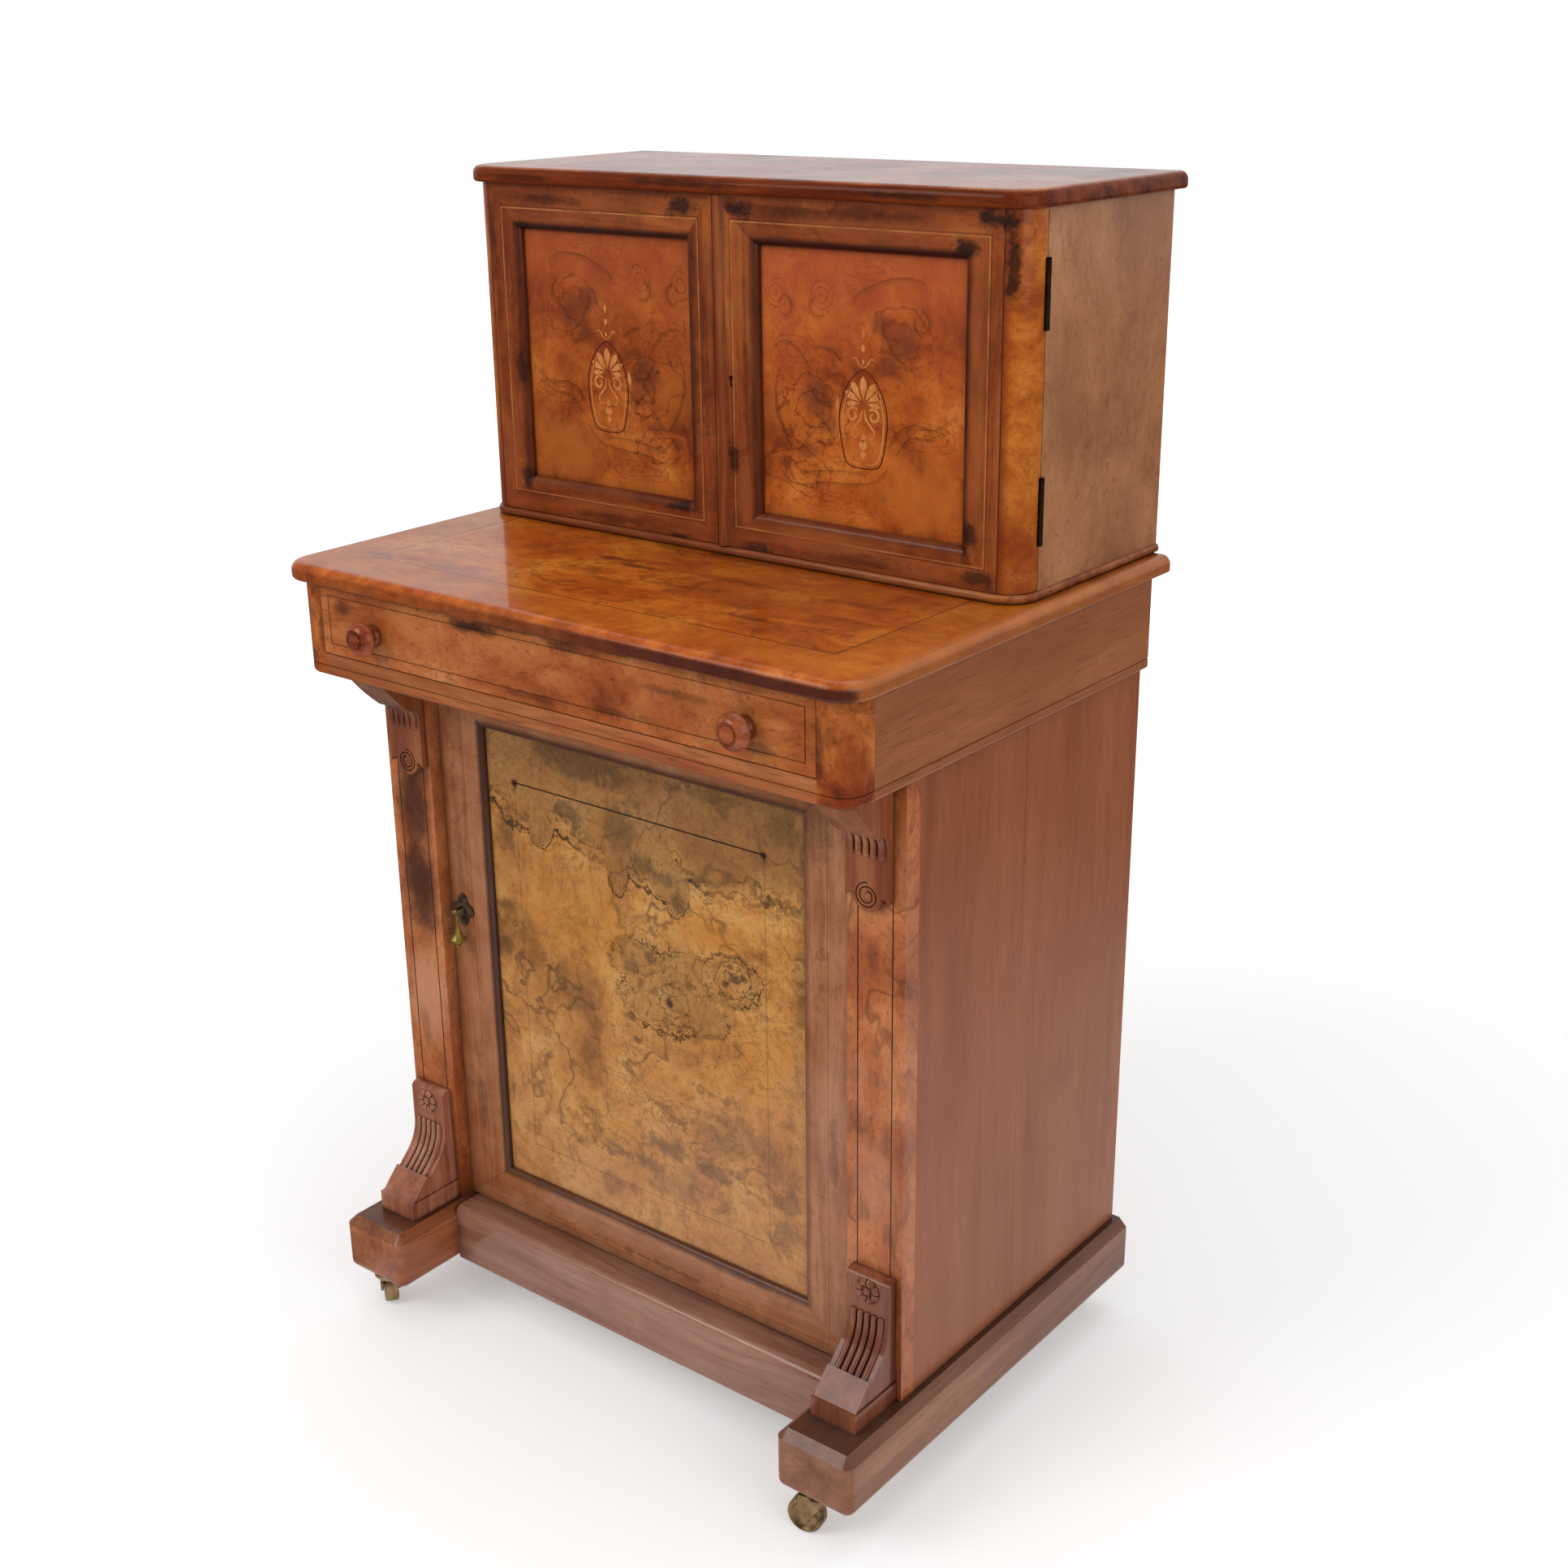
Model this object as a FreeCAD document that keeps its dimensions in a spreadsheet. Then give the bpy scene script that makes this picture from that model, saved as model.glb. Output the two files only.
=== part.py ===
import FreeCAD, Part
import math
import os
import re
import Sketcher

# A walnut writing cabinet of the davenport family. +Z up, front towards -Y, right-hand side +X.
# Origin: on the floor, midway between the two sides and midway between the knob fronts and the
# back edge of the cabinet top. All sizes are millimetres.

SIZES = [
    # writing top, and how far what is under it and on it stands in from its edges
    ("top_width", 686.0), ("top_depth", 512.0), ("top_thick", 17.5), ("top_surface", 839.5),
    ("top_corner", 30.0), ("thumb_radius", 9.0), ("under_radius", 4.0),
    ("frieze_inset", 10.75), ("frieze_inset_front", 12.0), ("frieze_inset_back", 14.5),
    ("carcass_inset", 7.55), ("cabinet_inset", 7.65),
    ("cabinet_depth", 248.0), ("cabinet_overhang", 4.0),
    # slab over the cabinet
    ("slab_overhang", 7.6), ("slab_overhang_front", 9.4), ("slab_overhang_back", 10.0),
    ("slab_thick", 15.5), ("slab_corner", 34.0), ("slab_thumb", 8.0), ("slab_under", 3.5),
    ("overall_height", 1190.0),
    # feet and plinth
    ("foot_proud", 15.3), ("foot_proud_back", 4.5), ("foot_width", 86.0), ("foot_height", 62.5),
    ("foot_chamfer", 9.0), ("foot_round", 8.0), ("foot_corner", 9.6), ("castor_height", 48.0),
    ("plinth_proud", 18.5), ("plinth_board", 22.0), ("plinth_rise", 1.5), ("ledge_thick", 12.0),
    ("plinth_ovolo", 8.0),
    # lower cupboard
    ("side_thick", 18.0), ("pilaster_width", 62.0), ("pilaster_thick", 20.0), ("floor_thick", 14.0),
    ("back_thick", 10.0), ("shelf_thick", 14.0), ("cupboard_shelf_height", 430.0),
    # frieze
    ("frieze_height", 93.5), ("frieze_corner", 22.0), ("frieze_side_thick", 18.0), ("block_size", 33.3),
    ("rail_height", 22.7), ("rail_depth", 44.0), ("band_height", 10.0), ("groove_width", 1.2),
    ("groove_depth", 0.8), ("band_round", 3.5),
    # drawer
    ("drawer_gap", 0.7), ("drawer_face_thick", 20.0), ("drawer_side_thick", 10.0), ("drawer_inset", 1.8),
    ("drawer_length", 394.0), ("drawer_side_height", 58.0), ("drawer_back_thick", 10.0),
    ("drawer_floor_thick", 6.0), ("drawer_floor_rise", 6.0), ("drawer_running", 0.3),
    ("string_inset", 10.0), ("string_width", 1.2), ("guide_height", 16.0),
    # turned knobs, from the flange on the drawer to the eye in the head
    ("knob_inset", 73.0), ("knob_drop", 5.75), ("knob_length", 26.0), ("knob_flange", 11.0),
    ("knob_flange_thick", 2.5), ("knob_cove", 6.0), ("knob_neck", 7.5), ("knob_neck_start", 7.0),
    ("knob_neck_end", 9.0), ("knob_under", 11.0), ("knob_radius", 17.0), ("knob_rim_start", 14.0),
    ("knob_rim_end", 17.5), ("knob_rim_round", 2.6), ("knob_rim_taper", 0.5), ("knob_dome", 14.0),
    ("knob_ring", 9.5), ("knob_ring_width", 1.7), ("knob_ring_depth", 1.2), ("knob_ring_start", 24.0),
    ("knob_eye", 7.1), ("knob_eye_start", 24.6), ("knob_eye_dome", 24.0),
    # doors
    ("joint_gap", 1.0), ("cabinet_side_thick", 15.0), ("cabinet_back_thick", 9.0),
    ("cabinet_shelf_height", 1004.0), ("shelf_set_back", 22.0),
    ("base_height", 8.5), ("base_proud", 3.0), ("base_round", 3.6),
    ("door_thick", 31.0), ("door_corner", 27.0), ("door_clear", 0.7), ("meeting_line", -13.0),
    ("outer_stile", 62.0), ("left_inner_stile", 33.0), ("right_inner_stile", 50.0),
    ("top_rail", 43.0), ("bottom_rail", 36.0), ("panel_recess", 8.0), ("panel_thick", 8.0),
    ("panel_lap", 7.0), ("panel_clear", 0.4), ("frame_ovolo", 7.0),
    ("bead_width", 13.0), ("bead_proud", 4.2),
    ("lower_door_thick", 22.0), ("lower_door_set_back", 15.0), ("lower_stile", 60.8),
    ("lower_top_rail", 62.0), ("lower_bottom_rail", 49.0), ("lower_recess", 6.0), ("lower_ovolo", 5.0),
    # hinges
    ("hinge_length", 60.0), ("leaf_width", 16.0), ("leaf_thick", 1.5), ("leaf_gap", 0.1),
    ("knuckle_radius", 3.0), ("knuckle_clear", 0.3), ("knuckle_gap", 0.2), ("pin_radius", 1.5),
    ("pin_clear", 0.05), ("upper_hinge_inset", 40.0), ("lower_hinge_inset", 80.0),
    # carved brackets under the frieze; their lower ends are sawn to a round lobe
    ("bracket_shift", 4.7), ("bracket_width", 46.0), ("bracket_face", 7.5), ("bracket_reach", 62.0),
    ("bracket_margin", 28.0), ("bracket_height", 125.0), ("bracket_flat", 62.0), ("bracket_cove", 20.0),
    ("bracket_lip", 3.0), ("lobe_radius", 15.0), ("lobe_shoulder", 4.0), ("lobe_cove", 6.0),
    ("volute_radius", 12.5), ("volute_step", 0.95), ("volute_groove", 1.4), ("volute_depth", 1.6),
    ("eye_radius", 3.0), ("eye_rise", 1.8),
    # carved brackets on the feet
    ("base_bracket_shift", 0.8), ("base_bracket_width", 48.0), ("base_block_width", 51.0),
    ("base_block_reach", 66.0), ("base_block_height", 20.5), ("base_bracket_height", 132.0),
    ("base_bracket_face", 11.6), ("base_bracket_foot", 63.5), ("base_bracket_cove", 48.0),
    ("base_bracket_flat", 45.5), ("base_bracket_sunk", 1.0), ("base_top_drop", 4.0),
    ("base_top_set", 2.0), ("base_top_round", 12.0),
    # the reeds of the brackets and the plain leaf that their ends run in under
    ("reed_radius", 3.7), ("reed_pitch", 8.0), ("reed_run", 7.0), ("base_reed_radius", 3.4),
    ("base_reed_pitch", 7.6), ("base_reed_run", 3.0), ("reed_tail", 4.0), ("leaf_start", 2.0),
    ("leaf_rise", 4.6), ("base_leaf_start", 18.0), ("base_leaf_rise", 4.2), ("leaf_round", 260.0),
    # the flower on the brackets of the feet
    ("flower_lift", 115.5), ("flower_radius", 13.0), ("flower_floor", 1.0), ("petal_root", 5.4),
    ("petal_round", 4.3), ("petal_gap", 0.5), ("petal_nick", 3.0), ("petal_flare", 2.9),
    ("petal_tip", 3.4), ("button_radius", 4.6), ("button_rise", 4.2), ("button_round", 4.9),
    # brass pull
    ("pull_inset", 18.0), ("pull_height", 457.0), ("plate_half_width", 15.5),
    ("plate_half_height", 18.5), ("plate_thick", 2.0), ("plate_waist_x", 6.5), ("plate_waist_z", 7.8),
    ("plate_hollow", 11.5), ("pull_stand", 11.0), ("pull_pin", 1.5), ("ear_thick", 2.0),
    ("ear_half", 3.0), ("ear_gap", 0.3), ("pull_lug", 3.0), ("lug_radius", 3.2), ("lug_top", 2.2),
    ("lug_foot", 8.0), ("pull_length", 40.0), ("pull_bulb", 8.0), ("bulb_rise", 29.6),
    ("bulb_shoulder", 26.0), ("bulb_foot", 9.5), ("tip_neck", 1.6), ("tip_neck_rise", 4.0),
    ("tip_radius", 2.4), ("tip_rise", 2.0), ("tip_round", 2.6),
    # castors
    ("castor_inset_front", 20.0), ("castor_inset_rear", 32.0), ("wheel_radius", 18.0),
    ("wheel_width", 15.0), ("wheel_crown", 2.5), ("hub_wall", 3.0), ("hub_slope", 1.5),
    ("web_sunk", 1.5), ("wheel_rim", 3.5), ("trail", 18.0), ("flange_radius", 17.0),
    ("flange_thick", 3.0), ("socket_radius", 8.0), ("socket_depth", 14.0), ("socket_floor", 1.0),
    ("pintle_radius", 4.0), ("pintle_short", 3.0), ("running_clear", 0.05), ("axle_radius", 2.5),
    ("axle_eye", 6.0), ("cheek_thick", 3.0), ("cheek_gap", 0.6), ("cheek_lap", 1.0), ("horn_heel", 2.0),
    ("horn_toe", 4.0), ("boss_height", 6.0), ("boss_lap", 0.5), ("boss_gap", 0.3), ("boss_radius", 10.0),
    # lock
    ("lock_inset", 2.0), ("lock_width", 34.0), ("lock_height", 44.0), ("lock_thick", 8.0),
    ("keyhole_inset", 18.5), ("keyhole_height", 1009.0), ("keyhole_radius", 2.6),
    ("keyhole_slot_half", 1.2), ("keyhole_slot", 7.5),
]

# Positions that follow from the sizes above. Fronts and backs are distances from the middle.
DERIVED = {
    "frieze_half": "top_width / 2 - frieze_inset", "frieze_front": "top_depth / 2 - frieze_inset_front",
    "frieze_back": "top_depth / 2 - frieze_inset_back",
    "carcass_half": "frieze_half - carcass_inset",
    "carcass_front": "frieze_front - bracket_reach - bracket_margin",
    "carcass_back": "frieze_back",
    "pilaster_in": "carcass_half - pilaster_width", "side_in": "carcass_half - side_thick",
    "foot_top": "castor_height + foot_height",
    "foot_out": "carcass_half + foot_proud", "foot_in": "foot_out - foot_width",
    "foot_front": "top_depth / 2", "foot_back": "carcass_back + foot_proud_back",
    "plinth_front": "carcass_front + plinth_proud",
    "top_under": "top_surface - top_thick", "frieze_floor": "top_under - frieze_height",
    "block_in": "frieze_half - block_size",
    "rail_top": "frieze_floor + rail_height", "band_top": "frieze_floor + band_height",
    "groove_top": "band_top + groove_width",
    "frieze_side_in": "frieze_half - frieze_side_thick",
    "ledge_top": "foot_top + plinth_rise",
    "cupboard_floor_top": "foot_top + floor_thick",
    "lower_door_front": "lower_door_set_back - carcass_front",
    "lower_door_back": "lower_door_front + lower_door_thick",
    "behind_door": "lower_door_back + joint_gap * 2",
    "lower_door_half": "pilaster_in - door_clear",
    "lower_door_foot": "ledge_top + joint_gap", "lower_door_head": "frieze_floor - joint_gap * 1.5",
    "leaf_proud": "joint_gap / 2 - leaf_gap",
    "cabinet_half": "frieze_half - cabinet_inset", "cabinet_back": "top_depth / 2 + cabinet_overhang",
    "cabinet_front": "cabinet_back - cabinet_depth", "door_back": "cabinet_front + door_thick",
    "cabinet_side_front": "door_back + joint_gap", "cabinet_side_in": "cabinet_half - cabinet_side_thick",
    "slab_half": "cabinet_half + slab_overhang", "slab_front": "cabinet_front - slab_overhang_front",
    "slab_back": "cabinet_back + slab_overhang_back",
    "slab_under_face": "overall_height - slab_thick", "base_top": "top_surface + base_height",
    "door_foot": "base_top + door_clear", "door_head": "slab_under_face - door_clear",
    "opening_low": "door_foot + bottom_rail", "opening_high": "door_head - top_rail",
    "left_inner": "meeting_line - joint_gap / 2", "right_inner": "meeting_line + joint_gap / 2",
    "upper_pin_x": "cabinet_half + joint_gap / 2", "upper_pin_y": "door_back + joint_gap / 2",
    "lower_pin_x": "pilaster_in - door_clear / 2", "lower_pin_y": "lower_door_front - joint_gap * 1.5",
    "drawer_foot": "rail_top + drawer_running", "drawer_out": "block_in - drawer_inset",
    "drawer_in": "drawer_out - drawer_side_thick",
    "drawer_box_front": "drawer_face_thick - frieze_front",
    "drawer_end": "drawer_length - frieze_front",
    "knob_x": "block_in - knob_inset", "knob_height": "(drawer_foot + top_under) / 2 - knob_drop",
    "bracket_x": "carcass_half - pilaster_width / 2 - bracket_shift",
    "base_bracket_x": "carcass_half - pilaster_width / 2 + base_bracket_shift",
    "pull_x": "pull_inset - lower_door_half", "pull_axis": "lower_door_front - pull_stand",
    "ear_in": "pull_lug / 2 + ear_gap", "ear_out": "ear_in + ear_thick",
    "castor_x": "foot_out - foot_width / 2", "castor_front": "castor_inset_front - foot_front",
    "castor_rear": "foot_back - castor_inset_rear",
    "boss_top": "castor_height - flange_thick - boss_gap", "wheel_room": "wheel_radius * 2 + cheek_gap",
    "cheek_in": "wheel_width / 2 + cheek_gap", "cheek_out": "cheek_in + cheek_thick",
    "keyhole_x": "right_inner + keyhole_inset", "lock_near": "right_inner + lock_inset",
}

OVERRUN = "1"           # how far a cutting shape runs on past the face that it cuts
AXLE_TURN = 90.0        # degrees from a castor's trail to its axle
FUNCTIONS = ("sqrt", "cos", "sin")
DOC = FreeCAD.newDocument("writing_cabinet")
SHEET = DOC.addObject("Spreadsheet::Sheet", "Sizes")
PIECES = []


def fill_sheet():
    for row, (name, value) in enumerate(SIZES, 1):
        SHEET.set("A%d" % row, name)
        SHEET.set("B%d" % row, repr(value))
        SHEET.setAlias("B%d" % row, name)
    DOC.recompute()


NAMES = {name for name, _ in SIZES}


def expand(text):
    """A formula in the words of the sheet, written out with full cell references."""
    def swap(match):
        word = match.group(0)
        if word in DERIVED:
            return "(" + expand(DERIVED[word]) + ")"
        if word in NAMES:
            return "Sizes." + word
        if word in FUNCTIONS:
            return word
        raise ValueError("unknown size " + word)
    return re.sub(r"[a-z_]+", swap, str(text))


def value(text):
    result = SHEET.evalExpression(expand(text))
    return float(getattr(result, "Value", result))


def bind(obj, **formulas):
    for prop, text in formulas.items():
        obj.setExpression(prop.replace("__", "."), expand(text))


def place(obj, x="0", y="0", z="0", turn=0.0):
    obj.Placement = FreeCAD.Placement(FreeCAD.Vector(value(x), value(y), value(z)),
                                      FreeCAD.Rotation(FreeCAD.Vector(0, 0, 1), turn))
    bind(obj, Placement__Base__x=x, Placement__Base__y=y, Placement__Base__z=z)


def keep(obj, node):
    obj.Label = node
    PIECES.append(obj)
    return obj


def flip(text, side):
    """The same distance from the middle plane on the right (+1) or left (-1) side."""
    return text if side > 0 else "-(%s)" % text


SIDES = (("left", -1), ("right", 1))


# Part primitives -----------------------------------------------------------------------------

def box(name, xs, ys, zs):
    item = DOC.addObject("Part::Box", name)
    bind(item, Length="(%s) - (%s)" % (xs[1], xs[0]), Width="(%s) - (%s)" % (ys[1], ys[0]),
         Height="(%s) - (%s)" % (zs[1], zs[0]))
    place(item, xs[0], ys[0], zs[0])
    return item


def mirrored(xs, side):
    return xs if side > 0 else ("-(%s)" % xs[1], "-(%s)" % xs[0])


def cylinder(name, radius, length, x="0", y="0", z="0", axis=(0, 0, 1)):
    item = DOC.addObject("Part::Cylinder", name)
    bind(item, Radius=radius, Height=length)
    item.Placement = FreeCAD.Placement(
        FreeCAD.Vector(value(x), value(y), value(z)),
        FreeCAD.Rotation(FreeCAD.Vector(0, 0, 1), FreeCAD.Vector(*axis)))
    bind(item, Placement__Base__x=x, Placement__Base__y=y, Placement__Base__z=z)
    return item


def fuse(name, items):
    item = DOC.addObject("Part::MultiFuse", name)
    item.Shapes = items
    return item


def cut(name, base, tools):
    tool = tools[0] if len(tools) == 1 else fuse(name + "_tools", tools)
    item = DOC.addObject("Part::Cut", name)
    item.Base = base
    item.Tool = tool
    return item


# PartDesign ----------------------------------------------------------------------------------

def new_body(name):
    return DOC.addObject("PartDesign::Body", name)


def origin_plane(body, role):
    return next(item for item in body.Origin.OriginFeatures if item.Role == role)


def new_sketch(body, name, role, offset="0", shift_x="0", shift_y="0"):
    sketch = body.newObject("Sketcher::SketchObject", name)
    sketch.AttachmentSupport = [(origin_plane(body, role), "")]
    sketch.MapMode = "FlatFace"
    sketch.AttachmentOffset = FreeCAD.Placement(
        FreeCAD.Vector(value(shift_x), value(shift_y), value(offset)), FreeCAD.Rotation())
    bind(sketch, AttachmentOffset__Base__x=shift_x, AttachmentOffset__Base__y=shift_y,
         AttachmentOffset__Base__z=offset)
    return sketch


def pin_point(sketch, geo, pos, x, y):
    for kind, text in (("DistanceX", x), ("DistanceY", y)):
        number = sketch.addConstraint(Sketcher.Constraint(kind, -1, 1, geo, pos, value(text)))
        sketch.setExpression("Constraints[%d]" % number, expand(text))


def arc_geometry(start, end, radius, turn):
    """The shorter arc from start to end; turn is +1 anticlockwise, -1 clockwise."""
    chord = end - start
    lift = math.sqrt(max(radius ** 2 - (chord.Length / 2) ** 2, 0.0))
    normal = FreeCAD.Vector(-chord.y, chord.x, 0).normalize()
    centre = (start + end) * 0.5 + normal * lift * turn
    first, last = (start, end) if turn > 0 else (end, start)
    angles = [math.atan2(p.y - centre.y, p.x - centre.x) for p in (first, last)]
    circle = Part.Circle(centre, FreeCAD.Vector(0, 0, 1), radius)
    return Part.ArcOfCircle(circle, angles[0], angles[1])


def outline(sketch, path, closed=True):
    """A loop or an open line. A step is (x, y) for a line or (x, y, radius, turn) for an arc to it."""
    points = [FreeCAD.Vector(value(step[0]), value(step[1]), 0) for step in path]
    steps = list(enumerate(path)) if closed else list(enumerate(path))[1:]
    ends = []
    for index, step in steps:
        start, end = points[index - 1], points[index]
        if len(step) == 2:
            geo = sketch.addGeometry(Part.LineSegment(start, end), False)
            ends.append((geo, 1, 2))
        else:
            geo = sketch.addGeometry(arc_geometry(start, end, value(step[2]), step[3]), False)
            ends.append((geo, 1, 2) if step[3] > 0 else (geo, 2, 1))
    for before, after in zip([ends[-1]] + ends[:-1], ends):
        if closed or after is not ends[0]:
            sketch.addConstraint(Sketcher.Constraint("Coincident", before[0], before[2], after[0], after[1]))
    if not closed:
        pin_point(sketch, ends[0][0], ends[0][1], path[0][0], path[0][1])
    for (_, step), (geo, _, last) in zip(steps, ends):
        pin_point(sketch, geo, last, step[0], step[1])
        if len(step) == 4:
            number = sketch.addConstraint(Sketcher.Constraint("Radius", geo, value(step[2])))
            sketch.setExpression("Constraints[%d]" % number, expand(step[2]))
    return sketch


def ring(sketch, x, y, radius):
    centre = FreeCAD.Vector(value(x), value(y), 0)
    circle = Part.Circle(centre, FreeCAD.Vector(0, 0, 1), value(radius))
    geo = sketch.addGeometry(circle, False)
    pin_point(sketch, geo, 3, x, y)
    number = sketch.addConstraint(Sketcher.Constraint("Radius", geo, value(radius)))
    sketch.setExpression("Constraints[%d]" % number, expand(radius))
    return sketch


def rectangle(sketch, xs, ys):
    return outline(sketch, [(xs[0], ys[0]), (xs[1], ys[0]), (xs[1], ys[1]), (xs[0], ys[1])])


def pad(body, sketch, length, reverse=False):
    item = body.newObject("PartDesign::Pad", sketch.Name + "_pad")
    item.Profile = sketch
    item.Reversed = reverse
    bind(item, Length=length)
    DOC.recompute()
    return item


def pocket(body, sketch, length, reverse=False):
    before = body.Shape.Volume
    item = body.newObject("PartDesign::Pocket", sketch.Name + "_pocket")
    item.Profile = sketch
    item.Reversed = reverse
    bind(item, Length=length)
    DOC.recompute()
    if not body.Shape.Volume < before:
        raise RuntimeError(item.Name + " removes nothing")
    return item


def turned(body, sketch, axis="V_Axis"):
    item = body.newObject("PartDesign::Revolution", sketch.Name + "_turned")
    item.Profile = sketch
    item.ReferenceAxis = (sketch, [axis])
    item.Angle = 360.0
    DOC.recompute()
    return item


def swept(body, sketch, spine):
    item = body.newObject("PartDesign::AdditivePipe", sketch.Name + "_swept")
    item.Profile = sketch
    item.Spine = (spine, ["Edge%d" % (n + 1) for n in range(len(spine.Shape.Edges))])
    DOC.recompute()
    return item


def repeat_x(body, features, sketch, pitch, count):
    item = body.newObject("PartDesign::LinearPattern", features[0].Name + "_row")
    item.Originals = features
    item.Direction = (sketch, ["N_Axis"])
    item.Occurrences = count
    bind(item, Length="(%s) * %d" % (pitch, count - 1))
    body.Tip = item
    DOC.recompute()
    return item


def repeat_round(body, feature, sketch, count):
    item = body.newObject("PartDesign::PolarPattern", feature.Name + "_ring")
    item.Originals = [feature]
    item.Axis = (sketch, ["N_Axis"])
    item.Angle = 360.0
    item.Occurrences = count
    body.Tip = item
    DOC.recompute()
    return item


def edges_of(feature, wanted):
    return ["Edge%d" % (n + 1) for n, edge in enumerate(feature.Shape.Edges) if wanted(edge.BoundBox)]


def round_edges(body, radius, wanted, kind="PartDesign::Fillet"):
    base = body.Tip
    item = body.newObject(kind, base.Name + "_edge")
    item.Base = (base, edges_of(base, wanted))
    bind(item, **{"Radius" if kind.endswith("Fillet") else "Size": radius})
    DOC.recompute()
    return item


def flat_at(low, high, level, slack=0.01):
    return abs(low - level) < slack and abs(high - level) < slack


# Flat moulded boards ---------------------------------------------------------------------------

def moulded_board(node, half, front, back, zs, corner, upper_round, lower_round):
    """A board with rounded front corners and a rounded edge on the front and both ends."""
    body = new_body(node)
    sketch = new_sketch(body, node + "_plan", "XY_Plane", zs[0])
    outline(sketch, [
        ("-(%s)" % half, back),
        ("-(%s)" % half, "(%s) + (%s)" % (front, corner)),
        ("-(%s) + (%s)" % (half, corner), front, corner, 1),
        ("(%s) - (%s)" % (half, corner), front),
        (half, "(%s) + (%s)" % (front, corner), corner, 1),
        (half, back),
    ])
    pad(body, sketch, "(%s) - (%s)" % (zs[1], zs[0]))
    back_y = value(back)
    for level, radius in ((value(zs[1]), upper_round), (value(zs[0]), lower_round)):
        round_edges(body, radius, lambda b, z=level: flat_at(b.ZMin, b.ZMax, z)
                    and not flat_at(b.YMin, b.YMax, back_y))
    return keep(body, node)


# Base ------------------------------------------------------------------------------------------

def feet():
    for name, side in SIDES:
        node = "foot_" + name
        body = new_body(node)
        sketch = new_sketch(body, node + "_plan", "XY_Plane", "castor_height")
        rectangle(sketch, mirrored(("foot_in", "foot_out"), side), ("-foot_front", "foot_back"))
        pad(body, sketch, "foot_height")
        top, bottom = value("foot_top"), value("castor_height")
        nose = -value("foot_front")
        round_edges(body, "foot_corner", lambda b: flat_at(b.YMin, b.YMax, nose)
                    and flat_at(b.XMin, b.XMax, b.XMin))
        round_edges(body, "foot_chamfer", lambda b: flat_at(b.ZMin, b.ZMax, top)
                    and not flat_at(b.YMin, b.YMax, value("foot_back")), "PartDesign::Chamfer")
        round_edges(body, "foot_round", lambda b: flat_at(b.ZMin, b.ZMax, bottom)
                    and not flat_at(b.YMin, b.YMax, value("foot_back")))
        holes = new_sketch(body, node + "_sockets", "XY_Plane", "castor_height")
        for y in ("castor_front", "castor_rear"):
            ring(holes, flip("castor_x", side), y, "socket_radius")
        pocket(body, holes, "socket_depth", reverse=True)
        keep(body, node)


def plinth():
    body = new_body("plinth_rail")
    sketch = new_sketch(body, "plinth_section", "YZ_Plane", "-(foot_in)")
    outline(sketch, [
        ("-plinth_front", "castor_height"),
        ("plinth_board - plinth_front", "castor_height"),
        ("plinth_board - plinth_front", "ledge_top - ledge_thick"),
        ("behind_door", "ledge_top - ledge_thick"), ("behind_door", "ledge_top"),
        ("plinth_ovolo - plinth_front", "ledge_top"),
        ("-plinth_front", "ledge_top - plinth_ovolo", "plinth_ovolo", 1),
    ])
    pad(body, sketch, "foot_in * 2")
    keep(body, "plinth_rail")


# Lower cupboard --------------------------------------------------------------------------------

def hinge_heights(low, high, inset):
    return ["(%s) + %s" % (low, inset), "(%s) - %s - hinge_length" % (high, inset)]


UPPER_HINGES = hinge_heights("door_foot", "door_head", "upper_hinge_inset")
LOWER_HINGES = hinge_heights("lower_door_foot", "lower_door_head", "lower_hinge_inset")


def hinge_beds(name, xs, ys, pin, heights):
    """The room cut out of a board for the leaves and the knuckles of its hinges."""
    knuckles = [cylinder("%s_room_%d" % (name, n), "knuckle_radius + knuckle_clear", "hinge_length",
                         pin[0], pin[1], z) for n, z in enumerate(heights)]
    leaves = [box("%s_bed_%d" % (name, n), xs, ys, (z, "(%s) + hinge_length" % z))
              for n, z in enumerate(heights)]
    return knuckles + leaves


def carcass():
    floor_to_frieze = ("foot_top", "frieze_floor")
    for name, side in SIDES:
        keep(box("side_panel_" + name, mirrored(("side_in", "carcass_half"), side),
                 ("pilaster_thick - carcass_front", "carcass_back"), floor_to_frieze),
             "side_panel_" + name)
        post = box("post_" + name, mirrored(("pilaster_in", "carcass_half"), side),
                   ("-carcass_front", "pilaster_thick - carcass_front"), floor_to_frieze)
        if side > 0:
            bed = ("pilaster_in - " + OVERRUN, "lower_pin_x + leaf_gap + leaf_thick")
            post = cut("post_cut", post,
                       hinge_beds("post", bed, ("lower_pin_y", "lower_pin_y + leaf_width"),
                                  ("lower_pin_x", "lower_pin_y"), LOWER_HINGES))
        keep(post, "pilaster_" + name)
    inner = ("-side_in", "side_in")
    back_face = "carcass_back - back_thick"
    keep(box("cupboard_floor", inner, ("behind_door", back_face), ("foot_top", "cupboard_floor_top")),
         "cupboard_floor")
    keep(box("cupboard_back", inner, (back_face, "carcass_back"), floor_to_frieze), "cupboard_back")
    keep(box("cupboard_shelf", inner, ("lower_door_back + shelf_set_back", back_face),
             ("cupboard_shelf_height", "cupboard_shelf_height + shelf_thick")), "cupboard_shelf")


# Frieze ----------------------------------------------------------------------------------------

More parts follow.
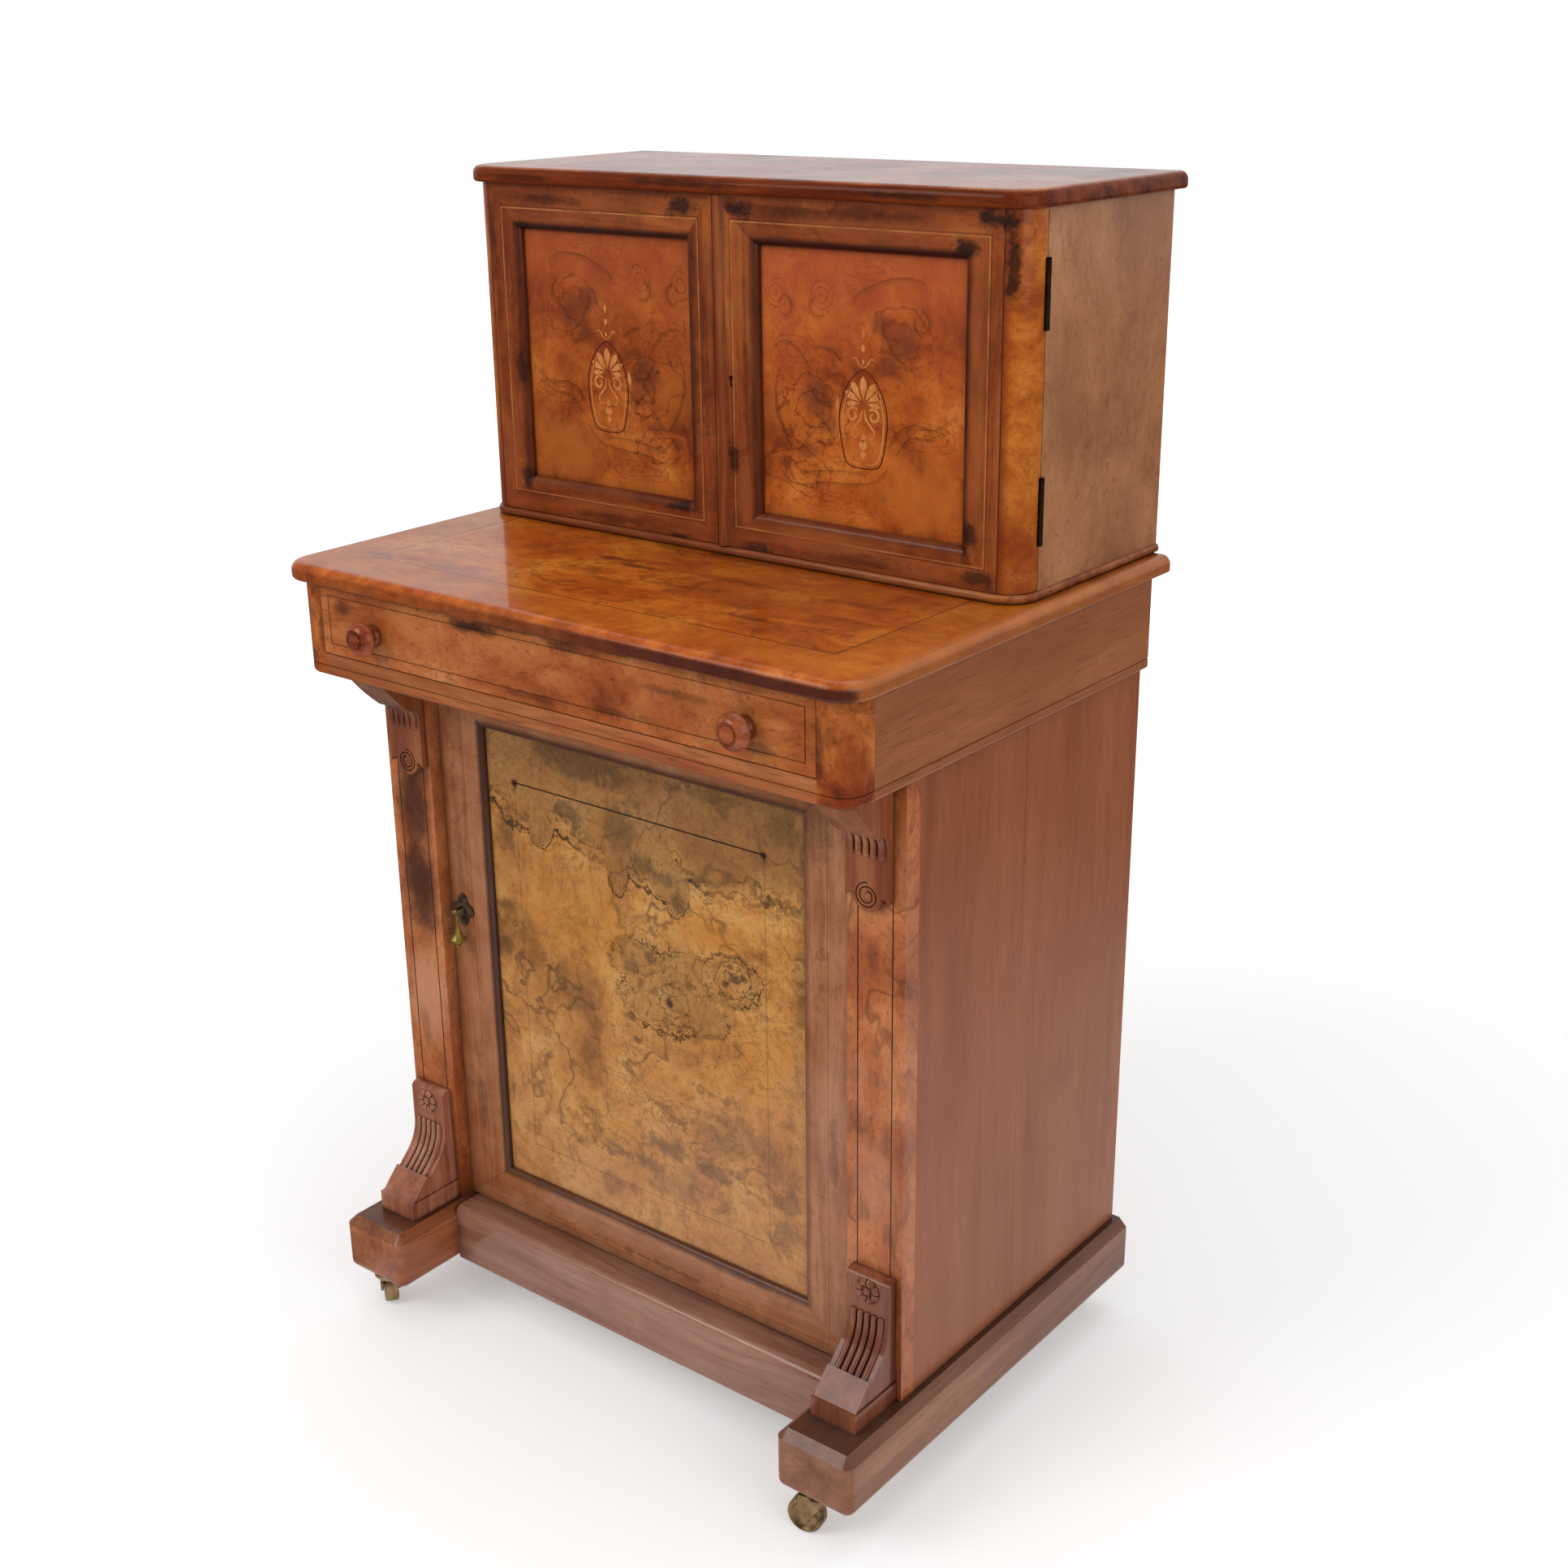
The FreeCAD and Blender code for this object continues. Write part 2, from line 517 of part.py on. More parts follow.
def band_section(sketch, outer, inner, sign):
    """Frieze section: rounded lower arris, a plain band, a sunk line, then the flat face above."""
    cut_in = "(%s) - (%s) * groove_depth" % (outer, sign)
    rounded = "(%s) - (%s) * band_round" % (outer, sign)
    outline(sketch, [
        (inner, "frieze_floor"),
        (rounded, "frieze_floor"),
        (outer, "frieze_floor + band_round", "band_round", 1 if sign == "1" else -1),
        (outer, "band_top"), (cut_in, "band_top"), (cut_in, "groove_top"), (outer, "groove_top"),
        (outer, "top_under"), (inner, "top_under"),
    ])


def frieze_sides():
    for name, side in SIDES:
        node = "frieze_side_" + name
        body = new_body(node)
        back_end = "-(frieze_back)"
        sketch = new_sketch(body, node + "_section", "XZ_Plane", back_end)
        band_section(sketch, flip("frieze_half", side), flip("frieze_side_in", side), str(side))
        pad(body, sketch, "frieze_back + frieze_front - block_size")
        keep(body, node)


def corner_plan(sketch, side, inset):
    turn = side
    out = "frieze_half - (%s)" % inset
    front = "(%s) - frieze_front" % inset
    bend = "frieze_corner - (%s)" % inset
    outline(sketch, [
        (flip("block_in", side), front),
        (flip("frieze_half - frieze_corner", side), front),
        (flip(out, side), "frieze_corner - frieze_front", bend, turn),
        (flip(out, side), "block_size - frieze_front"),
        (flip("block_in", side), "block_size - frieze_front"),
    ])


def corner_blocks():
    for name, side in SIDES:
        node = "corner_block_" + name
        body = new_body(node)
        layers = (("band", "frieze_floor", "band_top", "0"),
                  ("line", "band_top", "groove_top", "groove_depth"),
                  ("face", "groove_top", "top_under", "0"))
        for layer, low, high, inset in layers:
            sketch = new_sketch(body, "%s_%s" % (node, layer), "XY_Plane", low)
            corner_plan(sketch, side, inset)
            pad(body, sketch, "(%s) - (%s)" % (high, low))
        low = value("frieze_floor")
        edge_x = value("block_in") * side
        edge_y = value("block_size - frieze_front")
        round_edges(body, "band_round", lambda b: flat_at(b.ZMin, b.ZMax, low)
                    and not flat_at(b.XMin, b.XMax, edge_x) and not flat_at(b.YMin, b.YMax, edge_y))
        keep(body, node)


def frieze_rail():
    body = new_body("frieze_rail")
    sketch = new_sketch(body, "rail_section", "YZ_Plane", "-(block_in)")
    front = "-frieze_front"
    outline(sketch, [
        ("rail_depth - frieze_front", "frieze_floor"),
        ("rail_depth - frieze_front", "rail_top"), (front, "rail_top"),
        (front, "groove_top"), ("groove_depth - frieze_front", "groove_top"),
        ("groove_depth - frieze_front", "band_top"), (front, "band_top"),
        (front, "frieze_floor + band_round"),
        ("band_round - frieze_front", "frieze_floor", "band_round", 1),
    ])
    pad(body, sketch, "block_in * 2")
    keep(body, "frieze_rail")


def frieze_inner():
    rear_face = "frieze_back - frieze_side_thick"
    keep(box("frieze_back", ("-frieze_side_in", "frieze_side_in"), (rear_face, "frieze_back"),
             ("frieze_floor", "top_under")), "frieze_back")
    keep(box("dust_board", ("-frieze_side_in", "frieze_side_in"), ("rail_depth - frieze_front", rear_face),
             ("frieze_floor", "rail_top")), "dust_board")
    for name, side in SIDES:
        keep(box("drawer_guide_" + name, mirrored(("block_in", "frieze_side_in"), side),
                 ("rail_depth - frieze_front", rear_face), ("rail_top", "rail_top + guide_height")),
             "drawer_guide_" + name)


# Drawer ----------------------------------------------------------------------------------------

def drawer():
    face_half = "block_in - drawer_gap"
    body = new_body("drawer_front")
    sketch = new_sketch(body, "drawer_face", "XZ_Plane", "frieze_front - drawer_face_thick")
    rectangle(sketch, ("-(%s)" % face_half, face_half),
              ("drawer_foot + drawer_gap", "top_under - drawer_gap"))
    pad(body, sketch, "drawer_face_thick")
    line = new_sketch(body, "drawer_line", "XZ_Plane", "frieze_front")
    for edge in ("string_inset", "string_inset + string_width"):
        rectangle(line, ("-(%s) + %s" % (face_half, edge), "(%s) - (%s)" % (face_half, edge)),
                  ("drawer_foot + drawer_gap + %s" % edge, "top_under - drawer_gap - (%s)" % edge))
    pocket(body, line, "groove_depth")
    keep(body, "drawer_front")
    for name, side in SIDES:
        keep(box("drawer_side_" + name, mirrored(("drawer_in", "drawer_out"), side),
                 ("drawer_box_front", "drawer_end"), ("drawer_foot", "drawer_foot + drawer_side_height")),
             "drawer_side_" + name)
    inside = ("-(drawer_in)", "drawer_in")
    floor_low = "drawer_foot + drawer_floor_rise"
    keep(box("drawer_bottom", inside, ("drawer_box_front", "drawer_end"),
             (floor_low, floor_low + " + drawer_floor_thick")), "drawer_bottom")
    keep(box("drawer_back", inside, ("drawer_end - drawer_back_thick", "drawer_end"),
             (floor_low + " + drawer_floor_thick", "drawer_foot + drawer_side_height")), "drawer_back")
    for name, side in SIDES:
        knob(name, side)


def knob(name, side):
    """Turned walnut knob: flange, neck, mushroom head with a sunk ring and a raised eye."""
    node = "knob_" + name
    body = new_body(node)
    sketch = new_sketch(body, node + "_profile", "XY_Plane")
    outline(sketch, [
        ("0", "0"), ("knob_flange", "0"), ("knob_flange", "-knob_flange_thick"),
        ("knob_neck", "-knob_neck_start", "knob_cove", -1), ("knob_neck", "-knob_neck_end"),
        ("knob_radius", "-knob_rim_start", "knob_under", -1),
        ("knob_radius - knob_rim_taper", "-knob_rim_end", "knob_rim_round", -1),
        ("knob_ring + knob_ring_depth", "-knob_ring_start", "knob_dome", -1),
        ("knob_ring", "knob_ring_depth - knob_ring_start"),
        ("knob_ring - knob_ring_width", "knob_ring_depth - knob_ring_start"),
        ("knob_eye", "-knob_eye_start"), ("0", "-knob_length", "knob_eye_dome", -1),
    ])
    turned(body, sketch)
    place(body, flip("knob_x", side), "-frieze_front", "knob_height")
    keep(body, node)


# Doors -----------------------------------------------------------------------------------------

def panel_opening(body, xs, zs, front, back, recess, ovolo):
    """Cuts the panel opening, the rebate behind it, and rounds the inner front edge."""
    node = body.Name
    lap = "panel_lap"
    through = new_sketch(body, node + "_opening", "XZ_Plane", "-(%s)" % back)
    rectangle(through, xs, zs)
    pocket(body, through, "(%s) - (%s)" % (back, front), reverse=True)
    rebate = new_sketch(body, node + "_rebate", "XZ_Plane", "-(%s)" % back)
    rectangle(rebate, ("(%s) - %s" % (xs[0], lap), "(%s) + %s" % (xs[1], lap)),
              ("(%s) - %s" % (zs[0], lap), "(%s) + %s" % (zs[1], lap)))
    pocket(body, rebate, "(%s) - (%s) - (%s)" % (back, front, recess), reverse=True)
    face = value(front)
    bounds = [value(t) for t in xs + zs]

    def at_opening(b):
        return (flat_at(b.YMin, b.YMax, face) and b.XMin > bounds[0] - 0.1 and b.XMax < bounds[1] + 0.1
                and b.ZMin > bounds[2] - 0.1 and b.ZMax < bounds[3] + 0.1)
    round_edges(body, ovolo, at_opening)


def panel(node, xs, zs, front):
    fit = "panel_lap - panel_clear"
    return keep(box(node, ("(%s) - (%s)" % (xs[0], fit), "(%s) + (%s)" % (xs[1], fit)),
                    (front, "(%s) + panel_thick" % front),
                    ("(%s) - (%s)" % (zs[0], fit), "(%s) + (%s)" % (zs[1], fit))), node)


def upper_doors():
    for name, side, inner, inner_stile in (("left", -1, "left_inner", "left_inner_stile"),
                                           ("right", 1, "right_inner", "right_inner_stile")):
        node = "upper_door_%s_frame" % name
        body = new_body(node + "_body")
        outer = flip("cabinet_half", side)
        sketch = new_sketch(body, node + "_plan", "XY_Plane", "door_foot")
        outline(sketch, [
            (inner, "cabinet_front"),
            (flip("cabinet_half - door_corner", side), "cabinet_front"),
            (outer, "cabinet_front + door_corner", "door_corner", side),
            (outer, "door_back"), (inner, "door_back"),
        ])
        pad(body, sketch, "door_head - door_foot")
        near = "(%s) + (%s)" % (inner, inner_stile) if side > 0 else "(%s) - (%s)" % (inner, inner_stile)
        far = flip("cabinet_half - outer_stile", side)
        xs = (near, far) if side > 0 else (far, near)
        zs = ("opening_low", "opening_high")
        panel_opening(body, xs, zs, "cabinet_front", "door_back", "panel_recess", "frame_ovolo")
        sunk = "door_back - leaf_thick + leaf_proud"
        rooms = hinge_beds(node, mirrored(("cabinet_half - leaf_width", "cabinet_half + " + OVERRUN), side),
                           (sunk, "door_back + " + OVERRUN), (flip("upper_pin_x", side), "upper_pin_y"),
                           UPPER_HINGES)
        if side > 0:
            rooms += keyhole_tools()
        keep(cut(node, body, rooms), node)
        panel("upper_door_%s_panel" % name, xs, zs, "cabinet_front + panel_recess")
    astragal()
    keep(box("cabinet_lock", ("lock_near", "lock_near + lock_width"),
             ("door_back", "door_back + lock_thick"),
             ("keyhole_height - lock_height / 2", "keyhole_height + lock_height / 2")), "cabinet_lock")


def keyhole_tools():
    start, end = "cabinet_front - " + OVERRUN, "door_back + " + OVERRUN
    eye = cylinder("keyhole_eye", "keyhole_radius", "(%s) - (%s)" % (end, start), "keyhole_x", start,
                   "keyhole_height", (0, 1, 0))
    slot = box("keyhole_slot", ("keyhole_x - keyhole_slot_half", "keyhole_x + keyhole_slot_half"),
               (start, end), ("keyhole_height - keyhole_slot", "keyhole_height"))
    return [eye, slot]


def astragal():
    """Half-round bead on the closing edge of the right-hand door."""
    body = new_body("astragal")
    sketch = new_sketch(body, "astragal_section", "XY_Plane", "door_foot")
    radius = "(bead_width * bead_width / 4 + bead_proud * bead_proud) / (2 * bead_proud)"
    outline(sketch, [
        ("right_inner", "cabinet_front"),
        ("right_inner + bead_width", "cabinet_front", radius, 1),
    ])
    pad(body, sketch, "door_head - door_foot")
    keep(body, "astragal")


def lower_door():
    node = "lower_door_frame"
    body = new_body(node + "_body")
    sketch = new_sketch(body, node + "_plan", "XY_Plane", "lower_door_foot")
    rectangle(sketch, ("-(lower_door_half)", "lower_door_half"), ("lower_door_front", "lower_door_back"))
    pad(body, sketch, "lower_door_head - lower_door_foot")
    xs = ("lower_stile - lower_door_half", "lower_door_half - lower_stile")
    zs = ("lower_door_foot + lower_bottom_rail", "lower_door_head - lower_top_rail")
    panel_opening(body, xs, zs, "lower_door_front", "lower_door_back", "lower_recess", "lower_ovolo")
    sunk = "lower_pin_x - leaf_gap - leaf_thick"
    rooms = hinge_beds(node, (sunk, "lower_door_half + " + OVERRUN),
                       ("lower_pin_y", "lower_pin_y + leaf_width"),
                       ("lower_pin_x", "lower_pin_y"), LOWER_HINGES)
    keep(cut(node, body, rooms), node)
    panel("lower_door_panel", xs, zs, "lower_door_front + lower_recess")


# Hinges ----------------------------------------------------------------------------------------

def hinge(name, pin, fixed_leaf, moving_leaf, foot):
    """One butt hinge. Returns its fixed half, with the pin, and its moving half."""
    third = "hinge_length / 3"
    gap = "knuckle_gap"
    outer = [cylinder("%s_knuckle_%d" % (name, n), "knuckle_radius", third + " - " + gap, pin[0], pin[1], z)
             for n, z in enumerate((foot, "(%s) + %s * 2 + %s" % (foot, third, gap)))]
    shaft = cylinder(name + "_pin", "pin_radius", "hinge_length", pin[0], pin[1], foot)
    barrel = cylinder(name + "_barrel", "knuckle_radius", third, pin[0], pin[1], "(%s) + %s" % (foot, third))
    fixed_parts = list(outer)
    for n, low in enumerate((foot, "(%s) + %s * 2 + %s" % (foot, third, gap))):
        fixed_parts.append(box("%s_fixed_%d" % (name, n), fixed_leaf[0], fixed_leaf[1],
                               (low, "(%s) + %s - %s" % (low, third, gap))))
    spine = box(name + "_spine", fixed_leaf[2], fixed_leaf[3], (foot, "(%s) + hinge_length" % foot))
    fixed = fuse(name + "_fixed", fixed_parts + [spine, shaft])
    wing = box(name + "_wing", moving_leaf[0], moving_leaf[1], ("(%s) + %s" % (foot, third),
                                                               "(%s) + %s * 2" % (foot, third)))
    plate = box(name + "_plate", moving_leaf[2], moving_leaf[3], (foot, "(%s) + hinge_length" % foot))
    bore = cylinder(name + "_bore", "pin_radius + pin_clear", "hinge_length", pin[0], pin[1], foot)
    moving = cut(name + "_moving", fuse(name + "_half", [barrel, wing, plate]), [bore])
    return fixed, moving


def upper_hinge(side, number):
    name = "upper_hinge_%s_%d" % ("right" if side > 0 else "left", number)
    clear = "knuckle_radius + knuckle_clear"
    near = mirrored(("cabinet_half - leaf_width", "upper_pin_x"), side)
    far = mirrored(("cabinet_half - leaf_width", "upper_pin_x - (%s)" % clear), side)
    fixed_y = ("cabinet_side_front - leaf_proud", "cabinet_side_front - leaf_proud + leaf_thick")
    moving_y = ("door_back + leaf_proud - leaf_thick", "door_back + leaf_proud")
    return hinge(name, (flip("upper_pin_x", side), "upper_pin_y"),
                 (near, fixed_y, far, fixed_y), (near, moving_y, far, moving_y), UPPER_HINGES[number])


def lower_hinge(number):
    clear = "knuckle_radius + knuckle_clear"
    near = ("lower_pin_y", "lower_pin_y + leaf_width")
    far = ("lower_pin_y + (%s)" % clear, "lower_pin_y + leaf_width")
    middle = "lower_pin_x"
    fixed_x = (middle + " + leaf_gap", middle + " + leaf_gap + leaf_thick")
    moving_x = (middle + " - leaf_gap - leaf_thick", middle + " - leaf_gap")
    return hinge("lower_hinge_%d" % number, ("lower_pin_x", "lower_pin_y"),
                 (fixed_x, near, fixed_x, far), (moving_x, near, moving_x, far), LOWER_HINGES[number])


def hinges():
    fixed_all = []
    for name, side in SIDES:
        halves = [upper_hinge(side, number) for number in (0, 1)]
        fixed_all += [half[0] for half in halves]
        keep(DOC.addObject("Part::Compound", "upper_%s_leaves" % name), "upper_door_%s_hinges" % name)
        PIECES[-1].Links = [half[1] for half in halves]
    halves = [lower_hinge(number) for number in (0, 1)]
    fixed_all += [half[0] for half in halves]
    keep(DOC.addObject("Part::Compound", "lower_leaves"), "lower_door_hinges")
    PIECES[-1].Links = [half[1] for half in halves]
    keep(DOC.addObject("Part::Compound", "fixed_leaves"), "butt_hinges_fixed")
    PIECES[-1].Links = fixed_all


# Writing top and cabinet -----------------------------------------------------------------------

def writing_top():
    moulded_board("writing_top", "top_width / 2", "-top_depth / 2", "top_depth / 2",
                  ("top_under", "top_surface"), "top_corner", "thumb_radius", "under_radius")


def cabinet():
    moulded_board("cabinet_base", "cabinet_half + base_proud", "cabinet_front - base_proud", "cabinet_back",
                  ("top_surface", "base_top"), "door_corner + base_proud", "base_round", "base_round")
    moulded_board("cabinet_top", "slab_half", "slab_front", "slab_back",
                  ("slab_under_face", "overall_height"), "slab_corner", "slab_thumb", "slab_under")
    walls = ("base_top", "slab_under_face")
    for name, side in SIDES:
        board = box("cabinet_wall_" + name, mirrored(("cabinet_side_in", "cabinet_half"), side),
                    ("cabinet_side_front", "cabinet_back"), walls)
        past = "cabinet_half + " + OVERRUN
        beds = hinge_beds("wall_" + name, mirrored(("cabinet_half - leaf_width", past), side),
                          ("cabinet_side_front - " + OVERRUN,
                           "cabinet_side_front - leaf_proud + leaf_thick"),
                          (flip("upper_pin_x", side), "upper_pin_y"), UPPER_HINGES)
        keep(cut("cabinet_side_" + name, board, beds), "cabinet_side_" + name)
    inside = ("-(cabinet_side_in)", "cabinet_side_in")
    rear = "cabinet_back - cabinet_back_thick"
    keep(box("cabinet_back", inside, (rear, "cabinet_back"), walls), "cabinet_back")
    keep(box("cabinet_shelf", inside, ("cabinet_side_front + shelf_set_back", rear),
             ("cabinet_shelf_height", "cabinet_shelf_height + shelf_thick")), "cabinet_shelf")


# Carved brackets -------------------------------------------------------------------------------

REEDS = 5
PETALS = 8
QUARTERS = 8            # quarter turns in a volute
COMPASS = ((0, 1), (-1, 0), (0, -1), (1, 0))


def sloped_path(face, root, flat, cove, leaf_start, leaf_rise, way):
    """Four points up a bracket: the face's end, the end of the cove, and the foot and edge of the leaf.

    The slope beyond the cove is at 45 degrees; way is +1 where it climbs, -1 where it falls."""
    lean = "(%s) * (1 - sqrt(0.5))" % cove
    rise = "(%s) * sqrt(0.5)" % cove
    start = (face, "(%s) + (%s) * %d" % (root, flat, way))
    bend = ("(%s) - %s" % (face, lean), "%s + %s * %d" % (start[1], rise, way))
    run = "%s * sqrt(0.5)" % leaf_start
    proud = "%s * sqrt(0.5)" % leaf_rise
    foot = ("%s - %s" % (bend[0], run), "%s + %s * %d" % (bend[1], run, way))
    edge = ("%s - %s" % (foot[0], proud), "%s - %s * %d" % (foot[1], proud, way))
    return start, bend, foot, edge


def dome(body, name, x, face, z, radius, rise):
    """A low dome on the face of a bracket."""
    sketch = new_sketch(body, name, "XY_Plane", z, shift_x=x)
    inside = "%s + %s" % (face, OVERRUN)
    ball = "(%s * %s + %s * %s) / (2 * %s)" % (radius, radius, rise, rise, rise)
    top = "%s - %s" % (face, rise)
    outline(sketch, [("0", inside), (radius, inside), (radius, face), ("0", top, ball, -1)])
    turned(body, sketch)


def reeds(body, name, points, cove, middle, radius, pitch, run, way):
    """A row of half-round reeds with domed tips, along the face, the cove and in under the leaf."""
    start, bend, foot, _ = points
    first = "(%s) - %s * %g" % (middle, pitch, (REEDS - 1) / 2.0)
    tip = "%s - %s * %d" % (start[1], run, way)
    tail = "reed_tail * sqrt(0.5)"
    spine = new_sketch(body, name + "_line", "YZ_Plane", first)
    outline(spine, [(start[0], tip), start, (bend[0], bend[1], cove, way),
                    ("%s - %s" % (foot[0], tail), "%s + %s * %d" % (foot[1], tail, way))], closed=False)
    section = new_sketch(body, name + "_section", "XY_Plane", tip)
    ring(section, first, start[0], radius)
    DOC.recompute()
    reed = swept(body, section, spine)
    cap = new_sketch(body, name + "_cap", "XZ_Plane", "-(%s)" % start[0], shift_x=first, shift_y=tip)
    outline(cap, [("0", "0"), ("0", "-(%s) * %d" % (radius, way)), (radius, "0", radius, way)])
    repeat_x(body, [reed, turned(body, cap)], spine, pitch, REEDS)


def volute_corners():
    """For each quarter turn its number, the corner it is struck from and the way it sets out."""
    centre = [-(COMPASS[1][axis] + COMPASS[2][axis]) / 2.0 for axis in (0, 1)]
    corners = []
    for quarter in range(QUARTERS + 1):
        way = COMPASS[quarter % 4]
        if quarter:
            centre = [centre[axis] + way[axis] for axis in (0, 1)]
        corners.append((quarter, centre, way))
    return corners


def volute_reach(quarter, inset):
    return "(volute_radius - %d * volute_step - %s)" % (quarter, inset)


def volute_point(corner, inset, side):
    quarter, centre, way = corner
    reach = volute_reach(quarter, inset)
    return ("(%g * volute_step + %d * %s) * %d" % (centre[0], way[0], reach, side),
            "%g * volute_step + %d * %s" % (centre[1], way[1], reach))


def volute(body, name, middle, face, z, side):
    """A groove wound in to the eye by quarter turns, each struck from the next corner of a square."""
    sketch = new_sketch(body, name, "XZ_Plane", "-(%s)" % face, shift_x=middle, shift_y=z)
    corners = volute_corners()
    path = [volute_point(corners[0], "0", side)]
    path += [volute_point(corner, "0", side) + (volute_reach(corner[0] - 1, "0"), side)
             for corner in corners[1:]]
    path.append(volute_point(corners[-1], "volute_groove", side))
    path += [volute_point(corner, "volute_groove", side)
             + (volute_reach(corner[0], "volute_groove"), -side) for corner in corners[-2::-1]]
    outline(sketch, path)
    pocket(body, sketch, "volute_depth")


def lobed_end(body, name, middle, face, root):
    """Saws the lower end of a bracket to a round lobe between two small coves."""
    sketch = new_sketch(body, name, "XZ_Plane", "%s - (%s)" % (OVERRUN, face), shift_x=middle,
                        shift_y="%s + lobe_radius" % root)
    half, past = "bracket_width / 2", "bracket_width / 2 + " + OVERRUN
    low = "-(lobe_radius + %s)" % OVERRUN
    outline(sketch, [
        ("-(%s)" % past, low), (past, low), (past, "-lobe_shoulder"), (half, "-lobe_shoulder"),
        ("lobe_radius", "0", "lobe_cove", 1), ("0", "-lobe_radius", "lobe_radius", -1),
        ("-lobe_radius", "0", "lobe_radius", -1), ("-(%s)" % half, "-lobe_shoulder", "lobe_cove", 1),
        ("-(%s)" % past, "-lobe_shoulder"),
    ])
    pocket(body, sketch, "bracket_face + %s * 2" % OVERRUN)


def top_brackets():
    back, face = "-(carcass_front)", "-(carcass_front + bracket_face)"
    reach = "-(carcass_front + bracket_reach)"
    root = "(frieze_floor - bracket_height)"
    points = sloped_path(face, root, "bracket_flat", "bracket_cove", "leaf_start", "leaf_rise", 1)
    start, bend, foot, edge = points
    for name, side in SIDES:
        node = "console_top_" + name
        body = new_body(node)
        middle = flip("bracket_x", side)
        sketch = new_sketch(body, node + "_side", "YZ_Plane", "(%s) - bracket_width / 2" % middle)
        outline(sketch, [
            (back, root), (face, root), start, (bend[0], bend[1], "bracket_cove", 1), foot, edge,
            (reach, "frieze_floor - bracket_lip", "leaf_round", -1),
            (reach, "frieze_floor"), (back, "frieze_floor"),
        ])
        pad(body, sketch, "bracket_width")
        reeds(body, node + "_reed", points, "bracket_cove", middle, "reed_radius", "reed_pitch",
              "reed_run", 1)
        lobed_end(body, node + "_lobe", middle, face, root)
        volute(body, node + "_volute", middle, face, "%s + lobe_radius" % root, side)
        dome(body, node + "_eye", middle, face, "%s + lobe_radius" % root, "eye_radius", "eye_rise")
        keep(body, node)


def flower(body, name, middle, face, z):
    """A turned boss with a button, cut into petals by slots that flare at the rim."""
    boss = new_sketch(body, name + "_boss", "XY_Plane", z, shift_x=middle)
    inside = "%s + %s" % (face, OVERRUN)
    floor = "%s - flower_floor" % face
    outline(boss, [
        ("0", inside), ("flower_radius", inside), ("flower_radius", floor),
        ("petal_root", floor, "petal_round", -1), ("button_radius", floor),
        ("0", "%s - button_rise" % face, "button_round", -1),
    ])
    turned(body, boss)
    slot = new_sketch(body, name + "_slot", "XZ_Plane", "button_rise + %s - (%s)" % (OVERRUN, face),
                      shift_x=middle, shift_y=z)
    neck, rim = "flower_radius - petal_nick", "flower_radius + " + OVERRUN
    outline(slot, [
        ("button_radius", "-petal_gap"), (neck, "-petal_gap"), (rim, "-petal_flare", "petal_tip", -1),
        (rim, "petal_flare"), (neck, "petal_gap", "petal_tip", -1), ("button_radius", "petal_gap"),
    ])
    cut_out = pocket(body, slot, "button_rise + %s - flower_floor / 2" % OVERRUN)
    repeat_round(body, cut_out, slot, PETALS)


def base_brackets():
    back, face = "-(carcass_front)", "-(carcass_front + base_bracket_face)"
    root = "(foot_top + base_bracket_height)"
    toe = "-(carcass_front + base_bracket_foot)"
    sunk = "foot_top + base_block_height - base_bracket_sunk"
    points = sloped_path(face, root, "base_bracket_flat", "base_bracket_cove", "base_leaf_start",
                         "base_leaf_rise", -1)
    start, bend, foot, edge = points
    for name, side in SIDES:
        node = "console_base_" + name
        body = new_body(node)
        middle = flip("base_bracket_x", side)
        sketch = new_sketch(body, node + "_side", "YZ_Plane", "(%s) - base_bracket_width / 2" % middle)
        outline(sketch, [
            (back, sunk), (toe, sunk), (edge[0], edge[1], "leaf_round", -1), foot, bend,
            (start[0], start[1], "base_bracket_cove", 1), (face, "%s - base_top_drop" % root),
            ("%s - base_top_set" % back, root, "base_top_round", -1), (back, root),
        ])
        pad(body, sketch, "base_bracket_width")
        block_plan = new_sketch(body, node + "_block", "XY_Plane", "foot_top")
        rectangle(block_plan, ("(%s) - base_block_width / 2" % middle,
                               "(%s) + base_block_width / 2" % middle),
                  ("-(carcass_front + base_block_reach)", back))
        pad(body, block_plan, "base_block_height")
        reeds(body, node + "_reed", points, "base_bracket_cove", middle, "base_reed_radius",
              "base_reed_pitch", "base_reed_run", -1)
        flower(body, node + "_flower", middle, face, "foot_top + flower_lift")
        keep(body, node)


# Brass pull ------------------------------------------------------------------------------------

